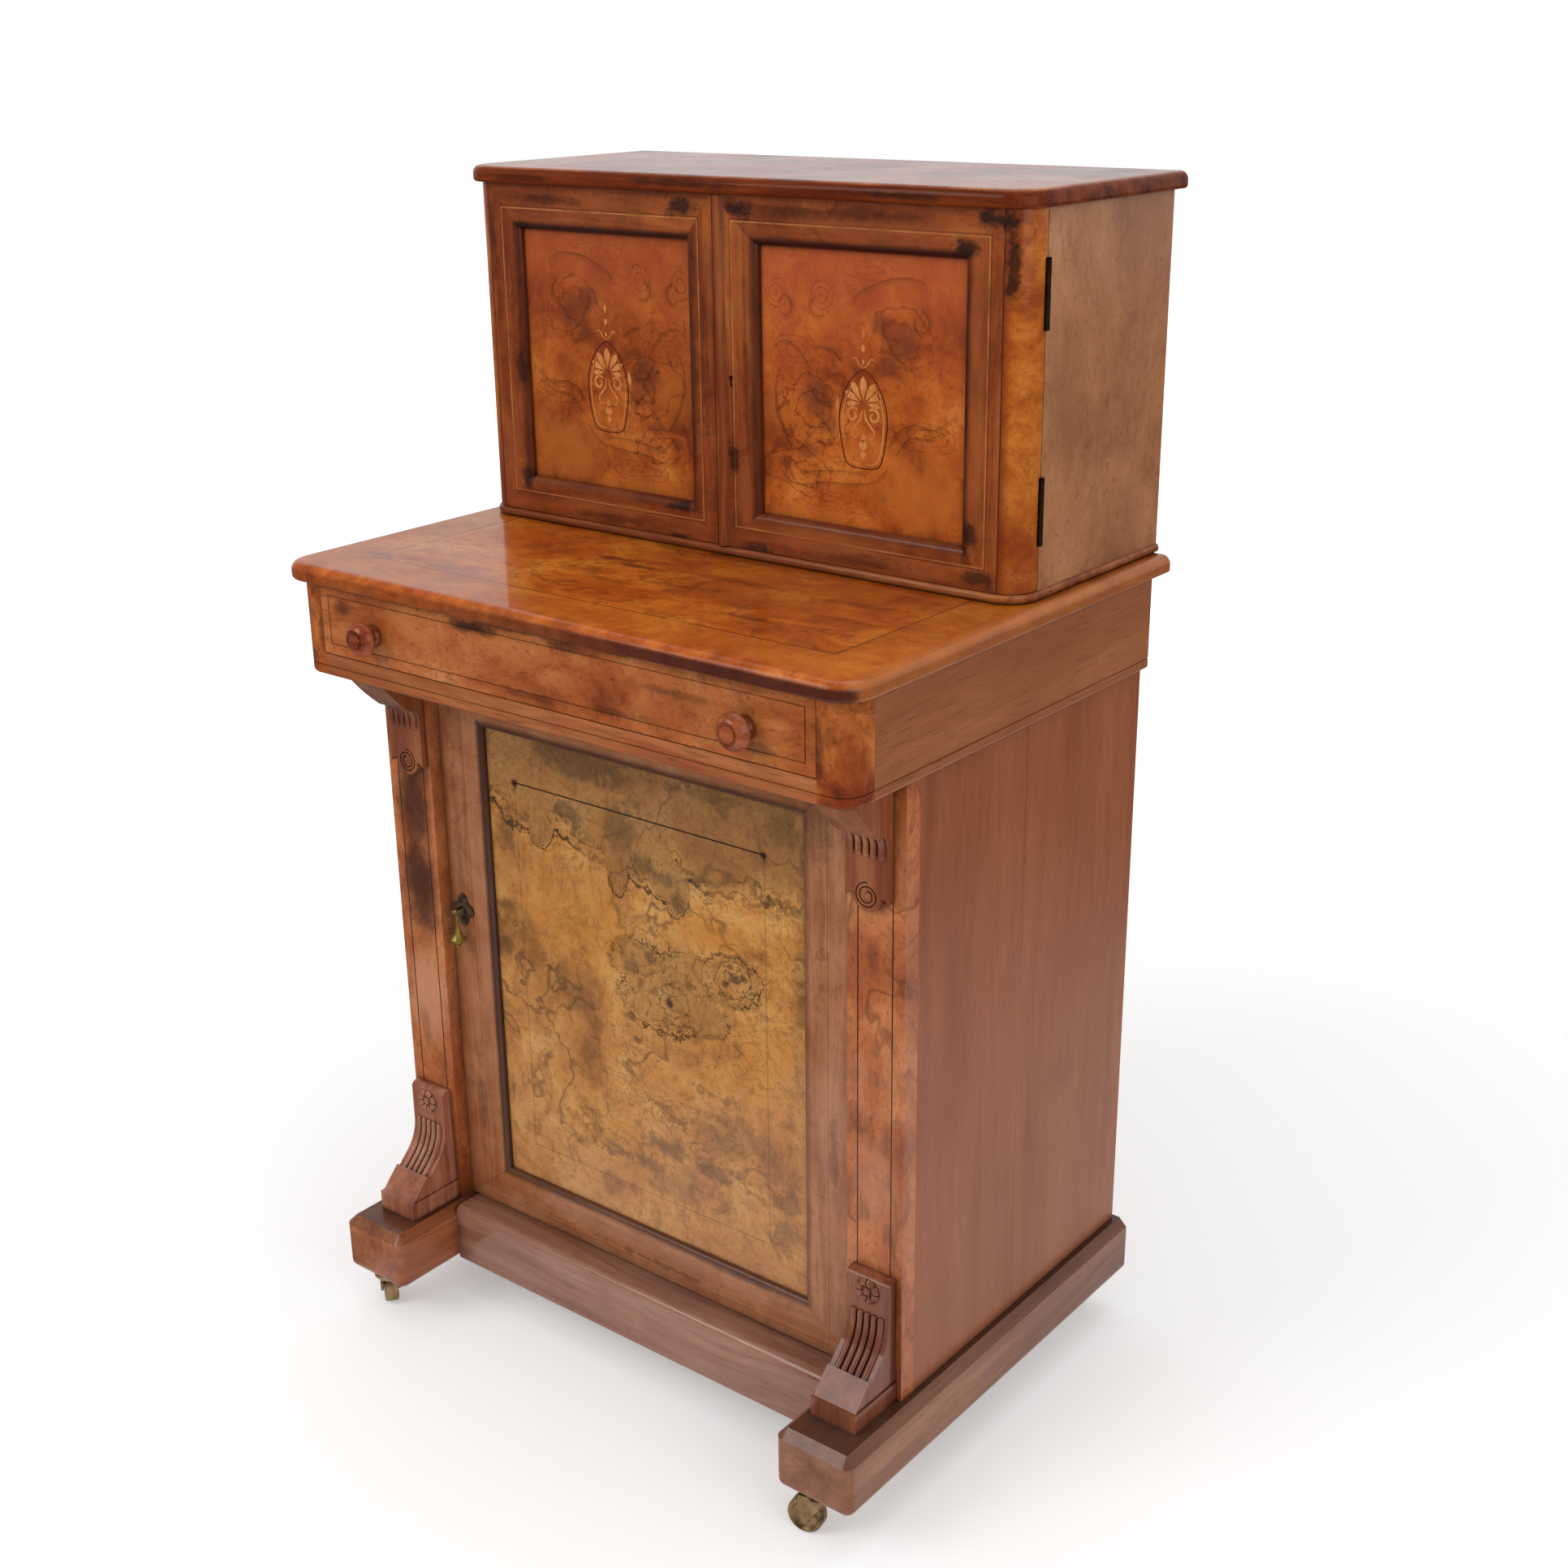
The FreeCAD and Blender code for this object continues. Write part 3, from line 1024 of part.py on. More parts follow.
def pull():
    body = new_body("pull_body")
    sketch = new_sketch(body, "pull_outline", "XZ_Plane")
    wide, tall = "plate_half_width", "plate_half_height"
    path = []
    for tip, waist in (((wide, "0"), ("plate_waist_x", "-plate_waist_z")),
                       (("0", tall), ("plate_waist_x", "plate_waist_z")),
                       (("-" + wide, "0"), ("-plate_waist_x", "plate_waist_z")),
                       (("0", "-" + tall), ("-plate_waist_x", "-plate_waist_z"))):
        path += [(waist[0], waist[1], "plate_hollow", 1), (tip[0], tip[1], "plate_hollow", 1)]
    outline(sketch, path)
    pad(body, sketch, "plate_thick")
    place(body, "pull_x", "lower_door_front", "pull_height")
    ears = [box("pull_ear_%s" % name, ("pull_x + " + low, "pull_x + " + high),
                ("pull_axis - ear_half", "lower_door_front - plate_thick / 2"),
                ("pull_height - ear_half", "pull_height + ear_half"))
            for name, low, high in (("right", "ear_in", "ear_out"), ("left", "-(ear_out)", "-(ear_in)"))]
    pin = cylinder("pull_pin_bar", "pull_pin", "ear_out * 2", "pull_x - ear_out", "pull_axis",
                   "pull_height", (1, 0, 0))
    keep(fuse("pull_plate", [body] + ears + [pin]), "pull_plate")
    drop()


def drop():
    """Pear-shaped drop that swings on the pin of the plate."""
    body = new_body("pull_drop_body")
    sketch = new_sketch(body, "drop_profile", "XZ_Plane")
    outline(sketch, [
        ("0", "-lug_top"), ("pull_lug / 2", "-lug_top"), ("pull_lug / 2", "-lug_foot"),
        ("pull_bulb", "-bulb_rise", "bulb_shoulder", 1),
        ("tip_neck", "tip_neck_rise - pull_length", "bulb_foot", -1),
        ("tip_radius", "tip_rise - pull_length"), ("0", "-pull_length", "tip_round", -1),
    ])
    turned(body, sketch)
    place(body, "pull_x", "pull_axis", "pull_height")
    eye = cylinder("drop_eye", "lug_radius", "pull_lug", "pull_x - pull_lug / 2", "pull_axis",
                   "pull_height", (1, 0, 0))
    hole = cylinder("drop_hole", "pull_pin + pin_clear", "pull_lug * 2", "pull_x - pull_lug", "pull_axis",
                    "pull_height", (1, 0, 0))
    keep(cut("pull_drop", fuse("drop_solid", [body, eye]), [hole]), "pull_drop")


# Castors ---------------------------------------------------------------------------------------

CASTORS = (("front_left", -1, "castor_front", 143.0), ("front_right", 1, "castor_front", 190.0),
           ("rear_left", -1, "castor_rear", 60.0), ("rear_right", 1, "castor_rear", 115.0))


def castor_sockets():
    """Four brass sockets: a flange under the foot and a bored sleeve let into it."""
    sockets = []
    for name, side, y, _ in CASTORS:
        x = flip("castor_x", side)
        flange = cylinder(name + "_flange", "flange_radius", "flange_thick", x, y,
                          "castor_height - flange_thick")
        sleeve = cylinder(name + "_sleeve", "socket_radius", "socket_depth", x, y, "castor_height")
        bore = cylinder(name + "_bore", "pintle_radius + running_clear",
                        "socket_depth + flange_thick - socket_floor",
                        x, y, "castor_height - flange_thick")
        sockets.append(cut(name + "_socket", fuse(name + "_shell", [flange, sleeve]), [bore]))
    keep(DOC.addObject("Part::Compound", "sockets"), "castor_sockets")
    PIECES[-1].Links = sockets


def castor_horn(name, side, y, turn):
    """Forked horn: pintle and boss on the swivel axis, two cheeks down to the axle."""
    node = "castor_horn_" + name
    body = new_body(node)
    boss = new_sketch(body, node + "_boss", "XY_Plane", "boss_top - boss_height")
    ring(boss, "0", "0", "boss_radius")
    pad(body, boss, "boss_height")
    pintle = new_sketch(body, node + "_pintle", "XY_Plane", "boss_top")
    ring(pintle, "0", "0", "pintle_radius")
    pad(body, pintle, "socket_depth + flange_thick - pintle_short")
    bridge = new_sketch(body, node + "_bridge", "XY_Plane", "wheel_room")
    rectangle(bridge, ("-horn_heel", "trail + horn_toe"), ("-(cheek_out)", "cheek_out"))
    pad(body, bridge, "boss_top - boss_lap - (wheel_room)")
    for label, start in (("near", "cheek_in"), ("far", "-(cheek_out)")):
        cheek = new_sketch(body, "%s_%s" % (node, label), "XZ_Plane", start)
        top = "wheel_room + cheek_lap"
        outline(cheek, [
            ("-horn_heel", top), ("trail - axle_eye", "wheel_radius"),
            ("trail", "wheel_radius - axle_eye", "axle_eye", 1),
            ("trail + axle_eye", "wheel_radius", "axle_eye", 1), ("trail + horn_toe", top),
        ])
        pad(body, cheek, "cheek_thick")
    axle = new_sketch(body, node + "_axle", "XZ_Plane", "-(cheek_out)")
    ring(axle, "trail", "wheel_radius", "axle_radius")
    pad(body, axle, "cheek_out * 2")
    place(body, flip("castor_x", side), y, "0", turn)
    keep(body, node)


def castor_wheel(name, side, y, turn):
    node = "castor_wheel_" + name
    body = new_body(node)
    sketch = new_sketch(body, node + "_profile", "XY_Plane")
    half = "wheel_width / 2"
    hole = "axle_radius + running_clear"
    hub, rim, tread = "axle_radius + hub_wall", "wheel_radius - wheel_rim", "wheel_radius - wheel_crown"
    web_low, web_high = hub + " + hub_slope", rim + " - hub_slope"
    outline(sketch, [
        ("-%s" % half, hole), (half, hole), (half, hub),
        (half + " - web_sunk", web_low), (half + " - web_sunk", web_high),
        (half, rim), (half, tread),
        (half + " - wheel_crown", "wheel_radius", "wheel_crown", 1),
        ("wheel_crown - " + half, "wheel_radius"),
        ("-" + half, tread, "wheel_crown", 1),
        ("-" + half, rim), ("web_sunk - " + half, web_high),
        ("web_sunk - " + half, web_low), ("-" + half, hub),
    ])
    turned(body, sketch, "H_Axis")
    place(body, "%s + trail * cos(%g)" % (flip("castor_x", side), turn),
          "%s + trail * sin(%g)" % (y, turn), "wheel_radius", turn + AXLE_TURN)
    keep(body, node)


def castors():
    castor_sockets()
    for name, side, y, turn in CASTORS:
        castor_horn(name, side, y, turn)
        castor_wheel(name, side, y, turn)


def check():
    for item in DOC.Objects:
        if "Invalid" in item.State or "Error" in item.State:
            raise RuntimeError("%s failed: %s" % (item.Name, item.State))
    for item in PIECES:
        shape = item.Shape
        if shape.isNull() or not shape.isValid() or not shape.Solids:
            raise RuntimeError("%s has no valid solid" % item.Label)


def export():
    os.makedirs("parts", exist_ok=True)
    for item in PIECES:
        item.Shape.exportStep("parts/%s.step" % item.Label)


def main():
    fill_sheet()
    feet()
    plinth()
    carcass()
    frieze_sides()
    corner_blocks()
    frieze_rail()
    frieze_inner()
    drawer()
    upper_doors()
    lower_door()
    hinges()
    writing_top()
    cabinet()
    top_brackets()
    base_brackets()
    pull()
    castors()
    DOC.recompute()
    check()
    export()
    print("pieces:", len(PIECES))


main()
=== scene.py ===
import math

import bmesh
import bpy
from mathutils import Matrix, Vector

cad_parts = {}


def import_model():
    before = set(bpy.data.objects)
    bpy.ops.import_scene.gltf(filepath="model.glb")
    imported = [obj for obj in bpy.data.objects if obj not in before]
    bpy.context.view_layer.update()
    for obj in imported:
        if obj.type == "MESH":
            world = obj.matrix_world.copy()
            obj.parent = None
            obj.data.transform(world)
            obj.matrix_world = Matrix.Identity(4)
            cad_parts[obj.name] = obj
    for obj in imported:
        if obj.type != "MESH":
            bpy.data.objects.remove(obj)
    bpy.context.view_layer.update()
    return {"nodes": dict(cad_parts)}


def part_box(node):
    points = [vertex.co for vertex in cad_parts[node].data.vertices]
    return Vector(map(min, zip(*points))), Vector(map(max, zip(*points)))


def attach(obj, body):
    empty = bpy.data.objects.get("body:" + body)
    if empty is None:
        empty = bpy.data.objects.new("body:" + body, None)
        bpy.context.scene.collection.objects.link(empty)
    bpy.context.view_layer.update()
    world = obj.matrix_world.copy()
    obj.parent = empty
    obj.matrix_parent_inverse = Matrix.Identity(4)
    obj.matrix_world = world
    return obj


# Looks of a walnut writing cabinet: french-polished burr veneers, crossbanding, string inlay,
# marquetry on the two upper doors, aged brass. Metres, +Z up, the doors face -Y.

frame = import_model()
nodes = frame["nodes"]
MM = 0.001
SIDES = (("left", -1), ("right", 1))   # with the sign of x


# Node graphs --------------------

def tone(colour):
    """Linear colour of a six-digit web colour; anything else is linear already and stays."""
    if not isinstance(colour, str):
        return colour
    parts = [int(colour[n:n + 2], 16) / 255.0 for n in (0, 2, 4)]
    linear = [p / 12.92 if p <= 0.04045 else ((p + 0.055) / 1.055) ** 2.4 for p in parts]
    return (*linear, 1.0)


class Graph:
    """The nodes of one material, or of the world, with short words for the usual steps."""

    def __init__(self, name, kind="materials", coordinates="Object"):
        self.owner = getattr(bpy.data, kind).new(name)
        self.owner.use_nodes = True
        self.tree = self.owner.node_tree
        self.tree.nodes.clear()
        self.place = self.add("ShaderNodeTexCoord").outputs[coordinates]
        self.x, self.y, self.z = self.split(self.place)

    def add(self, kind, **settings):
        node = self.tree.nodes.new(kind)
        for key, value in settings.items():
            setattr(node, key, value)
        return node

    def feed(self, socket, source):
        """Link the socket to another node's output, or set its value; text is a web colour."""
        if isinstance(source, bpy.types.NodeSocket):
            self.tree.links.new(source, socket)
        else:
            socket.default_value = tone(source)

    def feed_all(self, node, *terms):
        """Feed the node's inputs in turn; gives its first output."""
        for socket, term in zip(node.inputs, terms):
            self.feed(socket, term)
        return node.outputs[0]

    def feed_named(self, node, values):
        for key, value in values.items():
            self.feed(node.inputs[key], value)

    def math(self, operation, *terms):
        return self.feed_all(self.add("ShaderNodeMath", operation=operation), *terms)

    def times(self, one, other):
        return self.math("MULTIPLY", one, other)

    def vector(self, operation, *terms):
        return self.feed_all(self.add("ShaderNodeVectorMath", operation=operation), *terms)

    def split(self, vector):
        node = self.add("ShaderNodeSeparateXYZ")
        self.feed(node.inputs[0], vector)
        return node.outputs

    def join(self, x, y, z):
        return self.feed_all(self.add("ShaderNodeCombineXYZ"), x, y, z)

    def mix(self, factor, low, high, mode="MIX"):
        node = self.add("ShaderNodeMix", data_type="RGBA", blend_type=mode)
        self.feed(node.inputs[0], factor)
        self.feed(node.inputs[6], low)
        self.feed(node.inputs[7], high)
        return node.outputs[2]

    def ramp(self, factor, *stops):
        """Colours by factor; a stop is (position, colour)."""
        node = self.add("ShaderNodeValToRGB")
        elements = node.color_ramp.elements
        while len(elements) < len(stops):
            elements.new(0.5)
        for element, (position, colour) in zip(elements, stops):
            element.position = position
            element.color = tone(colour)
        self.feed(node.inputs[0], factor)
        return node.outputs[0]

    def step(self, value, low, high, to_low=0.0, to_high=1.0):
        """Value carried smoothly from low..high to to_low..to_high, held at both ends."""
        node = self.add("ShaderNodeMapRange", interpolation_type="SMOOTHSTEP")
        return self.feed_all(node, value, low, high, to_low, to_high)

    def noise(self, place, scale, detail=2.0, roughness=0.5, output="Fac"):
        node = self.add("ShaderNodeTexNoise")
        self.feed_named(node, {"Vector": place, "Scale": scale, "Detail": detail, "Roughness": roughness})
        return node.outputs[output]

    def cells(self, place, scale):
        """Distance from the nearest of many scattered points."""
        node = self.add("ShaderNodeTexVoronoi")
        self.feed_named(node, {"Vector": place, "Scale": scale})
        return node.outputs["Distance"]

    def warped(self, place, scale, amount, detail=2.0):
        """The place pushed about by noise, by up to amount metres."""
        shake = self.vector("SUBTRACT", self.noise(place, scale, detail, output="Color"), (0.5, 0.5, 0.5))
        return self.vector("MULTIPLY_ADD", shake, (amount * 2,) * 3, place)

    def loop(self, centre, half, width):
        """Mask of a rectangular line of the given width, seen from the front."""
        apart = []
        for axis, middle, reach in zip((self.x, self.z), centre, half):
            distance = self.math("ABSOLUTE", self.math("SUBTRACT", axis, middle))
            apart.append(self.math("SUBTRACT", distance, reach))
        return self.stroke(self.math("MAXIMUM", *apart), width)

    def line(self, axis, middle, width):
        """Mask of an endless line of the given width, where the axis has the middle's value."""
        return self.stroke(self.math("SUBTRACT", axis, middle), width)

    def stroke(self, distance, width):
        """Mask that is 1 where the distance is nought and gone a little past half the width."""
        return self.step(self.math("ABSOLUTE", distance), width * 0.35, width * 0.65, 1.0, 0.0)

    def away(self, face, mark):
        """Distance from a mark's centre, in its half sizes; the mark starts with (across, up, half
        width, half height), in mm. face is the pair of values across and up, by default x and z."""
        apart = [self.math("MULTIPLY_ADD", axis, 1000.0 / reach, -middle / reach)
                 for axis, middle, reach in zip(face or (self.x, self.z), mark[0:2], mark[2:4])]
        return self.math("SQRT", self.math("ADD", *[self.times(item, item) for item in apart]))

    def torn(self, scale, detail, roughness):
        """Noise about nought, which makes an outline ragged."""
        return self.math("SUBTRACT", self.noise(self.place, scale, detail, roughness), 0.5)

    def chain(self, operation, items):
        """The greatest or the smallest of many values."""
        total = items[0]
        for item in items[1:]:
            total = self.math(operation, total, item)
        return total

    def stain(self, colour, marks, over, **how):
        """The colour with ragged spots of another over it."""
        return self.mix(self.spots(marks, **how), colour, over)

    def spots(self, marks, ragged=0.9, scale=38.0, face=None):
        """Mask of ragged spots; a mark is (across, up, half width, half height, strength), in mm."""
        tear = self.torn(scale, 5.0, 0.65)
        masks = []
        for mark in marks:
            far = self.math("MULTIPLY_ADD", tear, ragged * 2, self.away(face, mark))
            masks.append(self.step(far, 0.30, 1.05, mark[4], 0.0))
        return self.chain("MAXIMUM", masks)

    def rings(self, marks, count, ragged=0.7, scale=30.0, face=None):
        """Nested wavy lines about knots, which are given like spots."""
        tear = self.torn(scale, 4.0, 0.6)
        masks = []
        for mark in marks:
            far = self.math("MULTIPLY_ADD", tear, ragged * 2, self.away(face, mark))
            near = self.step(far, 0.7, 1.15, mark[4], 0.0)
            masks.append(self.times(self.contours(far, count, 0.13), near))
        return self.chain("MAXIMUM", masks)

    def coast(self, blobs, ragged=0.5, scale=26.0, face=None):
        """Field round ragged blobs: 1 on the outline, less inside. A blob is (across, up, half width,
        half height), in mm."""
        nearest = self.chain("MINIMUM", [self.away(face, blob) for blob in blobs])
        return self.math("MULTIPLY_ADD", self.torn(scale, 7.0, 0.72), ragged * 2, nearest)

    def uneven(self, scale, amount, place=None):
        """The height, pushed up and down by noise."""
        return self.math("MULTIPLY_ADD", self.noise(place or self.place, scale, 3.0), amount, self.z)

    def upward(self):
        """Mask of faces that look up."""
        normal = self.split(self.add("ShaderNodeNewGeometry").outputs["Normal"])
        return self.step(normal[2], 0.5, 0.9)

    def contours(self, field, count, width):
        """Thin lines at evenly spaced levels of a field."""
        wave = self.math("PINGPONG", self.times(field, count), 0.5)
        return self.step(wave, 0.0, width, 1.0, 0.0)

    def polish(self, colour, bump, depth, rough=(0.30, 0.46), coat=0.26, coat_rough=0.09, metallic=0.0,
               grime=0.55, grime_tone="1d0d06", reach=0.02, specular=0.1):
        """French polish over the colour, darkened where pieces meet by soiling and by painted shade.

        bump and depth are the height field and its size in metres; reach is how far the soiling and
        painted shade spread."""
        if grime:
            # Ambient occlusion darkens crevices and joins: soiling, and painted shade.
            shade = self.add("ShaderNodeAmbientOcclusion", samples=6)
            self.feed(shade.inputs["Distance"], reach)
            dirt_and_shade = self.step(shade.outputs["AO"], 0.25, 0.95, grime, 0.0)
            colour = self.mix(dirt_and_shade, colour, grime_tone)
        shader = self.add("ShaderNodeBsdfPrincipled")
        self.feed(shader.inputs["Base Color"], colour)
        smear = self.noise(self.vector("MULTIPLY", self.place, (1.0, 1.0, 0.6)), 13.0, 4.0, 0.6)
        self.feed(shader.inputs["Roughness"], self.step(smear, 0.3, 0.7, rough[0], rough[1]))
        self.feed_named(shader, {"Metallic": metallic, "Specular IOR Level": specular, "Coat Weight": coat,
                                 "Coat Roughness": coat_rough, "Coat IOR": 1.5})
        node = self.add("ShaderNodeBump")
        self.feed_named(node, {"Strength": 0.6, "Distance": depth, "Height": bump})
        self.feed(shader.inputs["Normal"], node.outputs[0])
        return self.show(shader)

    def show(self, shader):
        """The material, with this shader on its surface."""
        output = self.add("ShaderNodeOutputMaterial")
        self.feed(output.inputs["Surface"], shader.outputs[0])
        return self.owner


# Woods --------------------

def straight(graph, along, tones, seed, stripe=1.0, pores=0.35):
    """Plain walnut, its grain running along axis 0, 1 or 2. Gives colour and bump height."""
    def drawn(place, across, lengthways, detail, roughness):
        """Noise with so many waves a metre across the grain and along it."""
        waves = [across] * 3
        waves[along] = lengthways
        return graph.noise(graph.vector("MULTIPLY", place, waves), 1.0, detail, roughness)

    shifted = graph.vector("ADD", graph.place, seed)
    bent = graph.warped(shifted, 2.6, 0.030)
    band = drawn(bent, 26.0 * stripe, 1.6, 6.0, 0.62)
    fibre = drawn(bent, 190.0, 8.0, 3.0, 0.6)
    dash = drawn(shifted, 760.0, 38.0, 1.0, 0.5)
    cloud = graph.noise(shifted, 4.6, 4.0, 0.6)
    colour = graph.ramp(band, (0.32, tones[0]), (0.47, tones[1]), (0.66, tones[2]))
    colour = graph.mix(graph.step(fibre, 0.40, 0.72, 0.0, 0.35), colour, tones[0])
    colour = graph.mix(graph.step(dash, 0.60, 0.70, 0.0, pores), colour, "30130a")
    colour = graph.mix(graph.step(cloud, 0.42, 0.68, 0.0, 0.50), colour, tones[3])
    return colour, dash


def burr(graph, tones, seed, place=None, scale=1.0, veins=0.8, eyes=0.5, smoke=0.5, stretch=(1.0, 1.0, 1.0)):
    """Burr walnut: clouded tones, inky contours, dark flecks, clusters of eyes. Colour and height."""
    place = place or graph.place
    start = graph.vector("MULTIPLY_ADD", place, [scale * item for item in stretch], seed)
    first = graph.warped(start, 5.0, 0.055)
    second = graph.warped(first, 19.0, 0.016, 3.0)
    cloud = graph.noise(second, 10.0, 8.0, 0.66)
    blotch = graph.noise(second, 44.0, 5.0, 0.62)
    drift = graph.noise(first, 4.4, 4.0, 0.55)
    fleck = graph.noise(start, 230.0, 3.0, 0.62)
    colour = graph.ramp(cloud, (0.34, tones[0]), (0.45, tones[1]), (0.55, tones[2]), (0.68, tones[3]))
    colour = graph.mix(graph.step(blotch, 0.50, 0.72, 0.0, 0.55), colour, tones[0])
    colour = graph.mix(graph.step(blotch, 0.24, 0.42, 0.35, 0.0), colour, tones[3])
    colour = graph.mix(graph.step(drift, 0.50, 0.66, 0.0, smoke), colour, tones[4])
    level = graph.noise(second, 5.2, 4.0, 0.55)
    patch = graph.step(graph.noise(first, 4.8, 2.0), 0.44, 0.60)
    ink = graph.times(graph.contours(level, 9.0, 0.10), patch)
    colour = graph.mix(graph.times(ink, veins * 0.7), colour, tones[5])
    wisps = graph.contours(graph.noise(second, 15.0, 4.0, 0.6), 5.0, 0.07)
    colour = graph.mix(graph.times(wisps, veins * 0.35), colour, tones[5])
    colour = graph.mix(graph.step(fleck, 0.56, 0.70, 0.0, 0.45), colour, tones[5])
    dots = graph.cells(second, 130.0)
    cluster = graph.step(graph.noise(first, 10.0, 2.0), 0.54, 0.66)
    pip = graph.times(graph.step(dots, 0.10, 0.28, eyes, 0.0), cluster)
    colour = graph.mix(pip, colour, tones[5])
    return colour, blotch


def mottled(graph, colour, scale, over):
    """Small strong mottles of another tone."""
    mottle = graph.noise(graph.warped(graph.place, 40.0, 0.01), scale, 6.0, 0.74)
    return graph.mix(graph.step(mottle, 0.50, 0.66, 0.0, 0.45), colour, over)


# Six tones of a burr: shade, body, light, highest light, smoke, ink. Four of plain wood: dark, body,
# light, cloud. Where left and right differ, the key is the sign of x; the paired parts are one wood,
# and their different tones are painted light and shade.
FRAME_BURR = ("55200b", "83390f", "a14c1c", "b8662c", "6b2a12", "260d08")
PANEL_BURR = ("7a340f", "a44f18", "b96323", "cb7c35", "8f4620", "561f0c")
TOP_BURR = ("8c3a0b", "b3550f", "c86d1a", "da8a30", "94420e", "4a1b0a")
GOLD_BURR = ("905a28", "c4823f", "d4974f", "e0aa66", "9c6c3f", "4a331d")
SIDE_BURR = ("895331", "9c653f", "aa7149", "b88056", "8b553b", "63382a")
CORNER_BURR = ("8c3b0f", "ab5715", "c06d22", "d08433", "8c3a12", "521a0a")
BLOCK_BURR = ("722c0c", "9c4c1c", "b5632a", "c97a3c", "7d2f10", "451708")
PILASTER_BURR = ("86441f", "b26336", "c67a4a", "d38f5e", "974a28", "42190d")
DRAWER_BURR = ("823c17", "a45527", "b86b37", "c7834e", "8e4320", "481b0d")
RAIL_BURR = ("874a2b", "a66842", "b87c54", "c58e67", "914f31", "4a2412")
FRAME_TONES = ("43180b", "8a431d", "b36a35", "702d13")
SIDE_TONES = ("854629", "945332", "a05d3a", "8a4a2b")
FRIEZE_TONES = ("844a2a", "995b35", "a86841", "8c4f2d")
CARVED_TONES = dict.fromkeys((-1, 1), ("5e2a18", "93502f", "b27046", "7a3d24"))
STAND_TONES = {-1: ("6e3a28", "a3634a", "bf8466", "884b37"), 1: ("522416", "82452c", "a0603f", "6a3320")}
FOOT_TONES = {-1: ("743a20", "a05c38", "bb724a", "8c4b2d"), 1: ("693922", "8b563b", "a16c4c", "7b482f")}
PLINTH_TONES = ("7a4332", "9a6a55", "b0826f", "8a5643")
KNOB_TONES = {-1: ("6c2814", "a04a26", "c8733f", "8c3a1c"), 1: ("5c2010", "8c3f1e", "b36339", "7a3016")}
INSIDE_TONES = ("8a6238", "a67a4b", "bb9364", "946a3f")
STRING_PALE = "c08246"
STRING_DARK = "220f08"
SMUDGE = "1e0d0c"


def plain_part(name, along, tones, seed, stripe=1.0, top_shade=None, **finish):
    """A part in plain wood; the optional top shade tone is painted shade over its upper faces."""
    graph = Graph(name)
    colour, bump = straight(graph, along, tones, seed, stripe=stripe)
    if top_shade:
        # Painted shade: the upper faces darkened.
        colour = graph.mix(graph.times(graph.upward(), 0.75), colour, top_shade)
    return graph.polish(colour, bump, 0.08 * MM, **finish)


def burr_part(name, tones, seed, finish=None, marks=None, **look):
    """A part in burr; marks are dark spots on its face, finish goes to the polish, look to the burr."""
    graph = Graph(name)
    colour, bump = burr(graph, tones, seed, **look)
    if marks:
        colour = graph.stain(colour, marks, SMUDGE)
    return graph.polish(colour, bump, 0.05 * MM, **(finish or {}))


